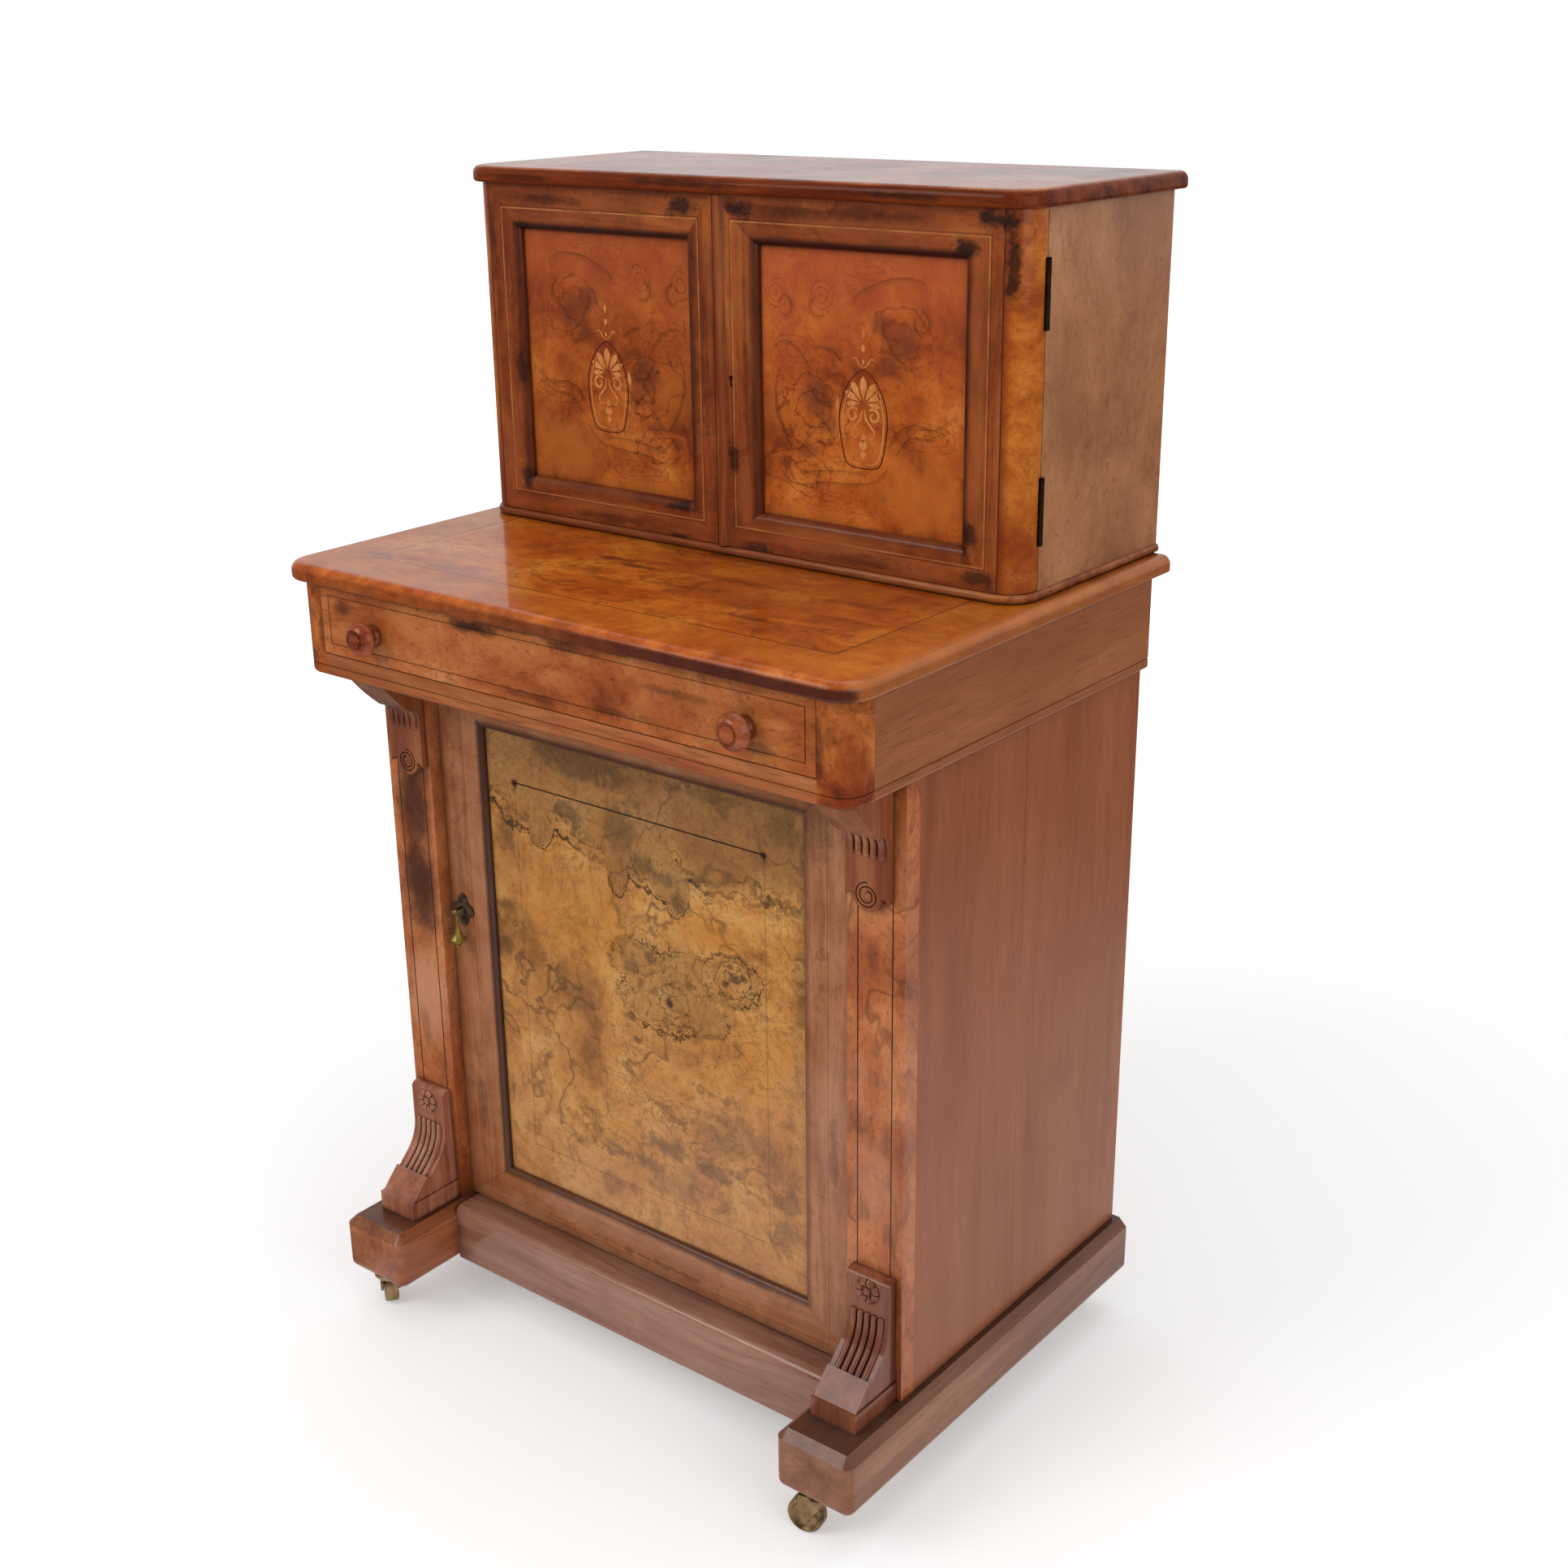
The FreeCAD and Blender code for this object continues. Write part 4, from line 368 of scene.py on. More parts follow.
def mitred_frame(name, outer, opening, line, seed, dark, marks, glow, tones=FRAME_BURR, plain=FRAME_TONES,
                 corner=0, glow_tone="a0552c", string=0.45, coat=0.26):
    """Door frame veneered along its length, mitred at the corners, with a pale string let in.

    outer, opening and line are ((x low, x high), (z low, z high)). dark is how deep the painted shade
    on the moulding round the opening is at the left, right, foot and head; marks and glow are smudges
    and pale patches, the pale patches being painted sheen on the lower door. corner is the side, -1 or 1,
    whose edge is burr laid across; 0 is none."""
    graph = Graph(name)
    share, clear, sight_shade = [], [], []
    sight_shade_levels = (dark[0:2], dark[2:4])
    sides = zip((graph.x, graph.z), opening, outer, sight_shade_levels)
    for axis, (near, far), (low, high), (first, second) in sides:
        offset = graph.math("SUBTRACT", axis, (near + far) / 2)
        side = graph.math("GREATER_THAN", offset, 0.0)
        width = graph.math("MULTIPLY_ADD", side, (high - far) - (near - low), near - low)
        clear.append(graph.math("SUBTRACT", graph.math("ABSOLUTE", offset), (far - near) / 2))
        share.append(graph.math("DIVIDE", clear[-1], width))
        sight_shade.append(graph.math("MULTIPLY_ADD", side, second - first, first))
    stile = graph.math("GREATER_THAN", share[0], share[1])
    upright, _ = straight(graph, 2, plain, seed, stripe=2.6)
    level, _ = straight(graph, 0, plain, seed, stripe=2.0)
    figure, height = burr(graph, tones, seed, scale=1.6, veins=0.7, eyes=0.4)
    colour = graph.mix(0.42, graph.mix(stile, level, upright), figure)
    joint = graph.math("ABSOLUTE", graph.math("SUBTRACT", *share))
    colour = graph.mix(graph.step(joint, 0.0, 0.018, 0.45, 0.0), colour, STRING_DARK)
    if corner:
        turned, _ = burr(graph, CORNER_BURR, seed, scale=1.5, veins=0.5, eyes=0.9, smoke=0.7,
                         stretch=(1.4, 1.0, 1.6))
        outward = graph.times(graph.x, corner)
        foot = graph.step(graph.z, 0.87, 0.97, 0.55, 0.0)
        turned = graph.mix(foot, turned, "86300f")
        reddish = graph.step(outward, DOOR_CORNER, DOOR_CORNER + 0.010, 0.75, 0.0)
        turned = graph.mix(reddish, turned, "73280f")
        colour = graph.mix(graph.math("GREATER_THAN", outward, DOOR_CORNER), colour, turned)
        seam = graph.line(graph.x, corner * DOOR_CORNER, 1.1 * MM)
        colour = graph.mix(graph.times(seam, 0.8), colour, STRING_DARK)
    centre = [(low + high) / 2 for low, high in line]
    reach = [(high - low) / 2 for low, high in line]
    mask = graph.loop(centre, reach, 1.4 * MM)
    beside = graph.loop(centre, [item + 1.6 * MM for item in reach], 1.4 * MM)
    colour = graph.mix(graph.times(beside, string), colour, "4a1c0d")
    paleness = graph.step(graph.noise(graph.place, 40.0, 3.0), 0.35, 0.6, string * 0.6, string * 1.5)
    colour = graph.mix(graph.times(mask, paleness), colour, STRING_PALE)
    colour = graph.stain(colour, glow, glow_tone, scale=20.0)
    colour = graph.stain(colour, marks, SMUDGE, ragged=1.5, scale=60.0)
    # Painted shade: the moulding round the opening darkened as a recess in shadow, by side.
    depth = graph.step(graph.math("MAXIMUM", *clear), 3.5 * MM, 10.5 * MM, 1.0, 0.0)
    sight_shade_strength = graph.math("MULTIPLY_ADD", stile, graph.math("SUBTRACT", *sight_shade), sight_shade[1])
    colour = graph.mix(graph.times(depth, sight_shade_strength), colour, "2a0f0d")
    return graph.polish(colour, height, 0.05 * MM, grime=0.4, coat=coat)


def paint(material, *parts):
    """The material takes every slot of these CAD nodes, or of the one that it is named after."""
    for part in parts or [material.name]:
        slots = nodes[part].data.materials
        for index in range(len(slots)):
            slots[index] = material


def paint_pair(stem, make):
    """Paint a left and a right node with what make(name, sign) gives."""
    for side, sign in SIDES:
        paint(make("%s_%s" % (stem, side), sign))


def placed(name, data):
    """A new object with this data, in the scene."""
    item = bpy.data.objects.new(name, data)
    bpy.context.scene.collection.objects.link(item)
    return item


def span(node, axis):
    low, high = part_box(node)
    return low[axis], high[axis]


def seen(panel):
    """What a door's frame leaves open of its panel: ((x low, x high), (z low, z high))."""
    return [(low + LAP, high - LAP) for low, high in (span(panel, 0), span(panel, 2))]


def plain_woods():
    paint_pair("side_panel", side_panel)
    paint_pair("cabinet_side", lambda name, sign: burr_part(
        name, SIDE_BURR, (sign * 0.2, 0.4, 0.1), scale=0.75, veins=0.25, eyes=0.12, smoke=0.5,
        finish={"coat": 0.35, "coat_rough": 0.16}, stretch=(1.0, 1.0, 0.7)))
    # The feet take painted shade on their upper faces.
    paint_pair("foot", lambda name, sign: plain_part(
        name, 1, FOOT_TONES[sign], (sign * 0.5, 0.0, 0.2),
        top_shade="32180f", rough=(0.34, 0.5), coat=0.6, coat_rough=0.16))
    paint(plain_part("plinth_rail", 0, PLINTH_TONES, (0.1, 0.6, 0.2), stripe=1.4, coat=0.8, coat_rough=0.12))
    paint(plain_part("astragal", 2, FRAME_TONES, (0.2, 0.2, 0.0), stripe=2.6))
    paint(plain_part("cabinet_base", 0, FRAME_TONES, (0.7, 0.2, 0.0), stripe=1.5))
    paint_pair("knob", lambda name, sign: plain_part(
        name, 0, KNOB_TONES[sign], (sign * 0.2, 0.0, 0.3), stripe=2.0, coat=0.6,
        coat_rough=0.05, specular=0.05))
    # The carvings take strong soiling and painted shade in their recesses.
    for stem, tones in (("console_top", CARVED_TONES), ("console_base", STAND_TONES)):
        paint_pair(stem, lambda name, sign: plain_part(
            name, 2, tones[sign], (sign * 0.4, 0.3, 0.1), stripe=1.6, coat=0.65, coat_rough=0.10,
            grime=0.92, grime_tone="200d07", reach=0.005))


BOARD_JOINT = 0.036   # depth of the joint between the two boards of a side, metres


def side_panel(name, sign):
    """Two plain upright boards with a few broad streaks, and painted reflection paler towards the foot."""
    graph = Graph(name)
    colour, bump = straight(graph, 2, SIDE_TONES, (sign * 0.31, 0.1, 0.0), stripe=0.9, pores=0.2)
    streaks = ((-30, 230, 9, 150, 0.4), (60, 190, 7, 190, 0.4), (120, 340, 40, 30, 0.35),
               (215, 300, 10, 260, 0.35))
    colour = graph.stain(colour, streaks, "74401f", ragged=0.6, face=(graph.y, graph.z))
    # Painted reflection: the boards paler towards the foot, where they mirror the floor.
    colour = graph.mix(graph.step(graph.uneven(5.0, 0.3), 0.20, 0.65, 0.25, 0.0), colour, "b07c62")
    seam = graph.line(graph.y, BOARD_JOINT, 1.2 * MM)
    colour = graph.mix(graph.times(seam, 0.35), colour, STRING_DARK)
    return graph.polish(colour, bump, 0.08 * MM, coat=0.31, coat_rough=0.10)


def veneers():
    paint_pair("corner_block", lambda name, sign: burr_part(
        name, BLOCK_BURR, (sign * 0.3, 0.2, 0.5), scale=1.7, veins=0.6, eyes=0.8, smoke=0.9,
        marks=((sign * 301, 775, 5, 40, 0.5), (sign * 318, 745, 9, 14, 0.5), (sign * 312, 790, 8, 12, 0.4)),
        stretch=(1.6, 1.0, 1.0)))
    paint_pair("frieze_side", lambda name, sign: plain_part(
        name, 1, FRIEZE_TONES, (sign * 0.4, 0.1, 0.3), stripe=0.8, coat=0.36, coat_rough=0.14))
    rail_tones = ("773519", "a75d33", "bd7647", "8e4925")
    paint(plain_part("frieze_rail", 0, rail_tones, (0.2, 0.1, 0.3), stripe=1.6))
    paint_pair("pilaster", pilaster)
    for side, sign in SIDES:
        upper_door(side, sign)
    lower_door()
    paint(drawer_front())
    paint(writing_top())
    paint(cabinet_top())


PILASTER_STRINGS = (0.2743, 0.3116)   # metres from the middle of the piece


def pilaster(name, sign):
    """Burr between two dark strings, with painted sheen low down; the left one is darker below its bracket.
    """
    graph = Graph(name)
    colour, bump = burr(graph, PILASTER_BURR, (sign * 0.6, 0.2, 0.1), scale=1.3, veins=0.6, eyes=0.3,
                        smoke=0.7, stretch=(1.0, 1.0, 0.55))
    # Painted sheen: pale patches low on the pilasters, where the floor is reflected.
    paleness = ((-293, 350, 40, 70, 0.6), (293, 330, 30, 60, 0.3))
    colour = graph.stain(colour, paleness, "cb9270", ragged=0.5)
    marks = ((-293, 570, 34, 80, 0.8), (-293, 475, 34, 80, 0.85), (-272, 620, 12, 60, 0.5),
             (-300, 310, 9, 30, 0.3), (290, 560, 9, 22, 0.35), (305, 380, 8, 26, 0.35),
             (283, 300, 7, 18, 0.3))
    colour = graph.stain(colour, marks, "35160f", ragged=0.4)
    for middle in PILASTER_STRINGS:
        colour = graph.mix(graph.line(graph.x, sign * middle, 1.3 * MM), colour, STRING_DARK)
    return graph.polish(colour, bump, 0.05 * MM, coat=0.5)


# Upper doors, in metres: how far a panel reaches under its frame, where the burr corner starts, the
# strings round the panel, the line between the doors and the marquetry's centre.
LAP = 6.6 * MM
DOOR_CORNER = 0.302
DOOR_STRINGS = {-1: ((-0.285, -0.031), (0.869, 1.151)), 1: ((0.009, 0.288), (0.869, 1.151))}
MEETING = -0.003
MEDALLION = {-1: (-0.1575, 0.990), 1: (0.1525, 0.990)}

# Smudges and pale patches of the frames, in mm, and how light the panels are.
DOOR_MARKS = {
    -1: ((-51, 1162, 20, 10, 0.85), (-62, 879, 26, 7, 0.9), (-58, 850, 20, 6, 0.85), (-269, 995, 9, 24, 0.6),
         (-268, 884, 10, 16, 0.75), (-256, 1134, 15, 8, 0.7), (-40, 1000, 6, 110, 0.35),
         (-300, 1120, 6, 50, 0.5), (-150, 856, 60, 6, 0.45), (-215, 1160, 60, 6, 0.45)),
    1: ((19, 1163, 22, 10, 0.9), (293, 1165, 24, 11, 0.9), (309, 1128, 8, 34, 0.85), (265, 1138, 15, 10, 0.9),
        (270, 893, 11, 20, 0.85), (281, 858, 18, 9, 0.7), (34, 850, 30, 7, 0.75), (8, 935, 8, 28, 0.75),
        (265, 1020, 5, 120, 0.4), (150, 1163, 110, 7, 0.4), (160, 858, 80, 6, 0.4), (24, 1060, 4, 80, 0.35)),
}
DOOR_GLOW = {
    -1: ((-180, 866, 90, 10, 0.5), (-290, 900, 12, 60, 0.4), (-150, 1160, 60, 8, 0.35)),
    1: ((120, 866, 90, 12, 0.6), (220, 858, 50, 10, 0.5), (22, 900, 12, 40, 0.5), (150, 1152, 90, 10, 0.35),
        (275, 960, 10, 60, 0.5), (275, 1080, 9, 50, 0.4)),
}
PANEL_SHADE = {-1: 1.0, 1: 1.18}


def upper_door(side, sign):
    """Frame and panel; the frame's outer edge is burr laid across, beyond a dark string."""
    frame_node, panel_node = "upper_door_%s_frame" % side, "upper_door_%s_panel" % side
    low, high = span(frame_node, 0)
    corner = sign * DOOR_CORNER
    outer = ((corner, high) if sign < 0 else (low, corner), span(frame_node, 2))
    paint(mitred_frame(
        frame_node, outer, seen(panel_node), DOOR_STRINGS[sign], (sign * 0.17, 0.3, 0.2), corner=sign,
        marks=DOOR_MARKS[sign], glow=DOOR_GLOW[sign], dark=(0.55, 0.75, 0.30, 0.95)))
    paint(door_panel(panel_node, PANEL_SHADE[sign]))


def door_panel(name, shade):
    """Burr matched about the meeting line, ruddy at the head and golden at the foot."""
    graph = Graph(name)
    matched = graph.math("ABSOLUTE", graph.math("ADD", graph.x, -MEETING))
    place = graph.join(matched, graph.y, graph.z)
    colour, bump = burr(graph, PANEL_BURR, (0.21, 0.05, 0.33), place=place, scale=1.15, veins=0.5, eyes=0.45,
                        smoke=0.45)
    colour = graph.mix(graph.step(graph.uneven(9.0, 0.16, place), 1.06, 1.20, 0.0, 0.6), colour, "a0482a")
    gold = ((215, 925, 60, 44, 0.6), (70, 985, 50, 34, 0.4), (110, 893, 60, 14, 0.4))
    face = (matched, graph.z)
    colour = graph.stain(colour, gold, "bb6a26", scale=20.0, face=face)
    clouds = ((196, 1056, 22, 20), (176, 1070, 16, 12), (182, 1034, 14, 10), (104, 1000, 20, 22),
              (116, 978, 14, 12), (66, 937, 10, 7), (92, 950, 12, 8))
    cloud = graph.step(graph.coast(clouds, face=face), 0.45, 1.20, 0.55, 0.0)
    colour = graph.mix(cloud, colour, "64301c")
    curls = ((57, 1088, 15, 17, 0.6), (108, 1091, 17, 18, 0.65), (142, 1094, 9, 14, 0.4),
             (194, 1056, 44, 36, 0.5), (80, 1040, 40, 16, 0.4), (105, 990, 56, 44, 0.65),
             (85, 930, 50, 26, 0.6), (120, 905, 70, 12, 0.45), (225, 975, 40, 16, 0.5),
             (160, 1115, 40, 12, 0.35))
    colour = graph.mix(graph.rings(curls, count=2.8, face=face), colour, "5c220e")
    if shade != 1.0:
        colour = graph.mix(1.0, colour, (shade, shade, shade, 1.0), mode="MULTIPLY")
    return graph.polish(colour, bump, 0.04 * MM, grime=0.8, grime_tone="2c100a", reach=0.010)


# The lower door's pale string, ((x low, x high), (z low, z high)), and the dark string in its panel,
# (x, z) of the centre and half width and height, in metres.
LOWER_STRING = ((-0.228, 0.228), (0.1245, 0.7145))
PANEL_STRING = ((-0.005, 0.4085), (0.159, 0.205))


def lower_door():
    """Its frame is veneered in paler burr than those of the upper doors."""
    outer = (span("lower_door_frame", 0), span("lower_door_frame", 2))
    marks = ((-205, 690, 14, 12, 0.5), (-246, 560, 6, 120, 0.35), (222, 660, 20, 40, 0.3),
             (0, 128, 90, 5, 0.45), (120, 155, 60, 5, 0.4), (-180, 700, 60, 10, 0.35),
             (-236, 230, 8, 70, 0.35), (236, 330, 6, 60, 0.3))
    # Its pale patches, on the foot rail and the stiles, are painted sheen where the floor is reflected.
    paint(mitred_frame(
        "lower_door_frame", outer, seen("lower_door_panel"), LOWER_STRING, (0.1, 0.4, 0.3),
        tones=RAIL_BURR, plain=("6e391b", "a66a44", "c2875f", "8e4f31"), marks=marks,
        glow=((60, 140, 120, 18, 0.3), (235, 300, 30, 160, 0.3), (-215, 420, 12, 160, 0.3)),
        glow_tone="b57a5c", dark=(0.85, 0.5, 0.7, 0.8), string=0.32, coat=0.52))
    paint(gold_panel())


# The lower panel's figure, in mm on the face: the olive head with its two tongues, and the ring of
# brown round the eyes.
HEAD = ((-150, 650, 70, 82), (-132, 575, 16, 24), (-60, 650, 80, 88), (-29, 570, 14, 45), (8, 612, 46, 70),
        (28, 568, 22, 34), (47, 552, 16, 30), (100, 650, 90, 92), (175, 650, 60, 84))
EYES = ((24, 436, 50, 46), (-8, 462, 30, 24), (112, 476, 34, 27), (62, 468, 30, 22), (78, 424, 34, 18))


def gold_panel():
    """The best burr of the piece, with a strung rectangle, darkest along its head."""
    graph = Graph("lower_door_panel")
    colour, bump = burr(graph, GOLD_BURR, (0.4, 0.1, 0.75), scale=1.05, veins=0.9, eyes=0.7, smoke=0.35)
    # Painted reflection: paler towards the foot, where the panel mirrors the floor.
    colour = graph.mix(graph.step(graph.uneven(7.0, 0.24), 0.26, 0.62, 0.35, 0.0), colour, "b98262")
    amber = ((-90, 480, 90, 70, 0.5), (150, 390, 40, 70, 0.5), (-60, 250, 60, 40, 0.3),
             (80, 515, 60, 24, 0.4))
    colour = graph.stain(colour, amber, "cd8636", scale=14.0)
    colour = mottled(graph, colour, 62.0, "7c5028")
    flecks = graph.step(graph.noise(graph.place, 150.0, 4.0, 0.7), 0.53, 0.63, 0.0, 0.6)
    patchy = graph.step(graph.noise(graph.place, 17.0, 2.0), 0.34, 0.52, 0.5, 1.0)
    clouds = ((HEAD, 24.0, 0.5, 0.52, "7f5737"), (EYES, 26.0, 0.8, 0.30, "80522b"))
    for blobs, size, tear, fill, shade in clouds:
        field = graph.coast(blobs, tear, size)
        inside = graph.step(field, 0.70, 1.08, fill, 0.0)
        colour = graph.mix(inside, colour, shade)
        colour = graph.mix(graph.times(inside, flecks), colour, "3c2a1a")
        for level, width, strength in ((1.0, 0.060, 1.0), (0.86, 0.030, 0.7), (1.12, 0.020, 0.4)):
            edge = graph.math("ABSOLUTE", graph.math("SUBTRACT", field, level))
            line = graph.times(graph.step(edge, 0.0, width, strength, 0.0), patchy)
            colour = graph.mix(line, colour, "3e2a18")
    smoke = ((-93, 595, 26, 14, 0.55), (-20, 592, 24, 30, 0.5), (2, 566, 30, 16, 0.5),
             (26, 556, 24, 16, 0.5), (46, 538, 14, 17, 0.55), (-70, 655, 90, 22, 0.6),
             (70, 655, 110, 14, 0.45), (165, 640, 30, 30, 0.45), (0, 690, 200, 22, 0.4),
             (-188, 475, 16, 26, 0.6), (-190, 428, 18, 16, 0.6), (-180, 555, 20, 26, 0.4),
             (-128, 421, 9, 7, 0.85), (192, 500, 12, 60, 0.35))
    colour = graph.stain(colour, smoke, "4f3a22", ragged=1.5, scale=26.0)
    foot = ((34, 264, 46, 12, 0.55), (84, 256, 40, 14, 0.55), (128, 262, 34, 14, 0.55),
            (168, 254, 28, 16, 0.5), (-80, 258, 16, 26, 0.5), (-96, 234, 12, 14, 0.5),
            (-42, 238, 30, 9, 0.5), (-3, 238, 34, 9, 0.5), (176, 222, 26, 30, 0.45),
            (-60, 200, 24, 14, 0.3), (110, 300, 60, 26, 0.35), (60, 230, 60, 20, 0.3))
    colour = graph.stain(colour, foot, "5e402e", ragged=2.1, scale=34.0)
    eyes = ((33, 429, 6, 8, 0.85), (116, 478, 8, 6, 0.7), (104, 470, 5, 5, 0.7), (127, 482, 6, 5, 0.7),
            (110, 490, 5, 4, 0.6), (24, 440, 4, 4, 0.6), (-14, 456, 14, 14, 0.5), (10, 470, 12, 8, 0.45),
            (-4, 440, 8, 8, 0.4), (60, 455, 8, 6, 0.4))
    colour = graph.stain(colour, eyes, "35271f", ragged=1.0, scale=70.0)
    rings = ((114, 478, 42, 33, 0.8), (33, 430, 44, 42, 0.6), (0, 470, 48, 42, 0.45),
             (-100, 440, 70, 50, 0.22), (60, 300, 90, 40, 0.4), (-40, 330, 60, 40, 0.3),
             (-60, 250, 60, 30, 0.4), (140, 400, 50, 40, 0.35))
    colour = graph.mix(graph.rings(rings, count=3.4), colour, "4b3420")
    string = graph.loop(*PANEL_STRING, 1.6 * MM)
    head = graph.step(graph.z, 0.60, 0.612, 0.28, 0.95)
    colour = graph.mix(graph.times(string, head), colour, STRING_DARK)
    ends = ((-164, 613, 6, 5, 0.9), (153, 613, 6, 5, 0.9))
    colour = graph.stain(colour, ends, STRING_DARK, ragged=0.3)
    return graph.polish(colour, bump, 0.04 * MM, coat=0.5, grime=0.9, grime_tone="250f08", reach=0.010)


def drawer_front():
    """Burr laid along the drawer, with painted shadow under the writing top and a few dark blots."""
    # The marks at z 814, 818 and 821 are painted shadow under the writing top's edge; the rest are dark
    # blots.
    marks = ((-95, 812, 36, 9, 0.85), (0, 821, 330, 6, 0.7), (30, 814, 40, 6, 0.6), (180, 818, 130, 8, 0.3),
             (85, 765, 40, 5, 0.4), (240, 765, 30, 6, 0.4), (-20, 760, 60, 4, 0.35), (-270, 800, 16, 10, 0.5),
             (150, 795, 60, 5, 0.4))
    return burr_part("drawer_front", DRAWER_BURR, (0.5, 0.2, 0.1), marks=marks, scale=1.25, veins=0.4,
                     eyes=0.35, smoke=0.5, stretch=(0.6, 1.0, 1.0), finish={"reach": 0.004})


# Writing top, in metres: half width and front of the field inside its border, then where the rubbed
# rim begins and is full at the sides and in front, and the heights between which the edge turns from
# painted shade to its own tone and from dull to polished.
FIELD_SIDE, FIELD_FRONT = 0.279, -0.192
RIM_SIDE, RIM_FRONT = (0.322, 0.334), (0.230, 0.246)
EDGE_PAINTED_SHADE, EDGE_COATED = (0.8315, 0.8362), (0.8375, 0.8392)


def writing_top():
    """Golden burr in a crossbanded border; the moulded edge is mottled above, with painted shade below."""
    graph = Graph("writing_top")
    field, bump = burr(graph, TOP_BURR, (0.7, 0.3, 0.2), scale=1.0, veins=0.6, eyes=0.6, smoke=0.6,
                       stretch=(0.8, 1.25, 1.0))
    field = mottled(graph, field, 58.0, "7a3409")
    swirls = ((-80, -62, 34, 9, 0.8), (-44, -72, 40, 7, 0.8), (-30, -125, 40, 7, 0.4),
              (150, -150, 50, 8, 0.4), (60, -60, 70, 8, 0.45), (-200, -180, 40, 9, 0.4),
              (210, -60, 40, 8, 0.4), (10, 0, 60, 14, 0.4))
    field = graph.stain(field, swirls, "4a1a09", ragged=1.2, face=(graph.x, graph.y))
    band, _ = burr(graph, CORNER_BURR, (0.1, 0.9, 0.4), scale=1.6, veins=0.4, eyes=0.5)
    distance = graph.math("ABSOLUTE", graph.x)
    side = graph.math("GREATER_THAN", distance, FIELD_SIDE)
    front = graph.math("LESS_THAN", graph.y, FIELD_FRONT)
    border = graph.mix(0.45, field, band)
    colour = graph.mix(graph.math("MAXIMUM", side, front), field, border)
    inner = graph.math("MINIMUM", graph.line(distance, FIELD_SIDE, 1.8 * MM),
                       graph.math("GREATER_THAN", graph.y, FIELD_FRONT))
    ahead = graph.math("MINIMUM", graph.line(graph.y, FIELD_FRONT, 1.8 * MM),
                       graph.math("LESS_THAN", distance, FIELD_SIDE))
    lines = graph.times(graph.math("MAXIMUM", inner, ahead), 0.75)
    colour = graph.mix(lines, colour, STRING_DARK)
    forward = graph.times(graph.y, -1.0)
    rim = graph.math("MAXIMUM", graph.step(distance, *RIM_SIDE), graph.step(forward, *RIM_FRONT))
    dapple = graph.noise(graph.vector("MULTIPLY", graph.place, (0.6, 0.35, 1.0)), 70.0, 6.0, 0.72)
    ember = graph.ramp(dapple, (0.34, "8c380d"), (0.48, "b0531a"), (0.60, "c96a24"), (0.72, "dc8a44"))
    ember = graph.mix(graph.step(distance, 0.325, 0.335, 0.0, 0.6), ember, "b8733f")
    colour = graph.mix(graph.times(rim, 0.8), colour, ember)
    # Painted shade on the lower part of the moulded edge, strongest to the right and at the front.
    under = graph.times(graph.step(graph.z, *EDGE_PAINTED_SHADE, 1.0, 0.0),
                       graph.step(graph.x, -0.2, 0.2, 0.40, 0.9))
    nose = graph.step(graph.y, -0.246, -0.238, 1.0, 0.35)
    colour = graph.mix(graph.times(under, nose), colour, "3c1614")
    coat = graph.step(graph.z, *EDGE_COATED, 0.30, 0.48)
    return graph.polish(colour, bump, 0.04 * MM, rough=(0.26, 0.38), coat=coat, coat_rough=0.045)


# Heights between which the cabinet top's edge turns from moulding to top, in tone and in polish.
TOP_EDGE, TOP_COATED = (1.1875, 1.1893), (1.1882, 1.1896)


def cabinet_top():
    """Burr above, plain wood with its grain lengthways on the moulded edge."""
    graph = Graph("cabinet_top")
    field, bump = burr(graph, FRAME_BURR, (0.3, 0.6, 0.2), scale=1.2, veins=0.5)
    edge = graph.step(graph.z, *TOP_EDGE, 1.0, 0.0)
    rim, _ = straight(graph, 0, ("451608", "6b2a0b", "863c14", "561d0c"), (0.4, 0.2, 0.1), stripe=2.0)
    colour = graph.mix(edge, field, rim)
    marks = ((-40, 1183, 80, 5, 0.6), (200, 1181, 70, 5, 0.7), (-250, 1181, 50, 4, 0.5))
    colour = graph.stain(colour, marks, SMUDGE)
    coat = graph.step(graph.z, *TOP_COATED, 0.16, 0.55)
    return graph.polish(colour, bump, 0.04 * MM, rough=(0.26, 0.38), coat=coat, coat_rough=0.06,
                        specular=0.05)


def inside_woods():
    """Secondary wood; each board's number is the axis of its grain."""
    boards = {"cupboard_floor": 0, "cupboard_back": 2, "cupboard_shelf": 0, "frieze_back": 0, "dust_board": 0,
              "drawer_guide_left": 1, "drawer_guide_right": 1, "drawer_side_left": 1, "drawer_side_right": 1,
              "drawer_bottom": 0, "drawer_back": 0, "cabinet_back": 2, "cabinet_shelf": 0}
    for number, (node, along) in enumerate(boards.items()):
        paint(plain_part(node, along, INSIDE_TONES, (0.13 * number, 0.2, 0.1), rough=(0.5, 0.7),
                         coat=0.05, coat_rough=0.4, specular=0.25))


# Metal --------------------

def brass(name, tones, rough):
    """Cast brass, dulled and browned, dirty in its hollows."""
    graph = Graph(name)
    patina = graph.noise(graph.warped(graph.place, 90.0, 0.003), 60.0, 5.0, 0.6)
    colour = graph.ramp(patina, (0.32, tones[0]), (0.5, tones[1]), (0.72, tones[2]))
    pits = graph.noise(graph.place, 520.0, 3.0, 0.6)
    return graph.polish(colour, pits, 0.06 * MM, rough=rough, coat=0.0, metallic=1.0, grime=0.85,
                        grime_tone="1a1208", reach=0.005)


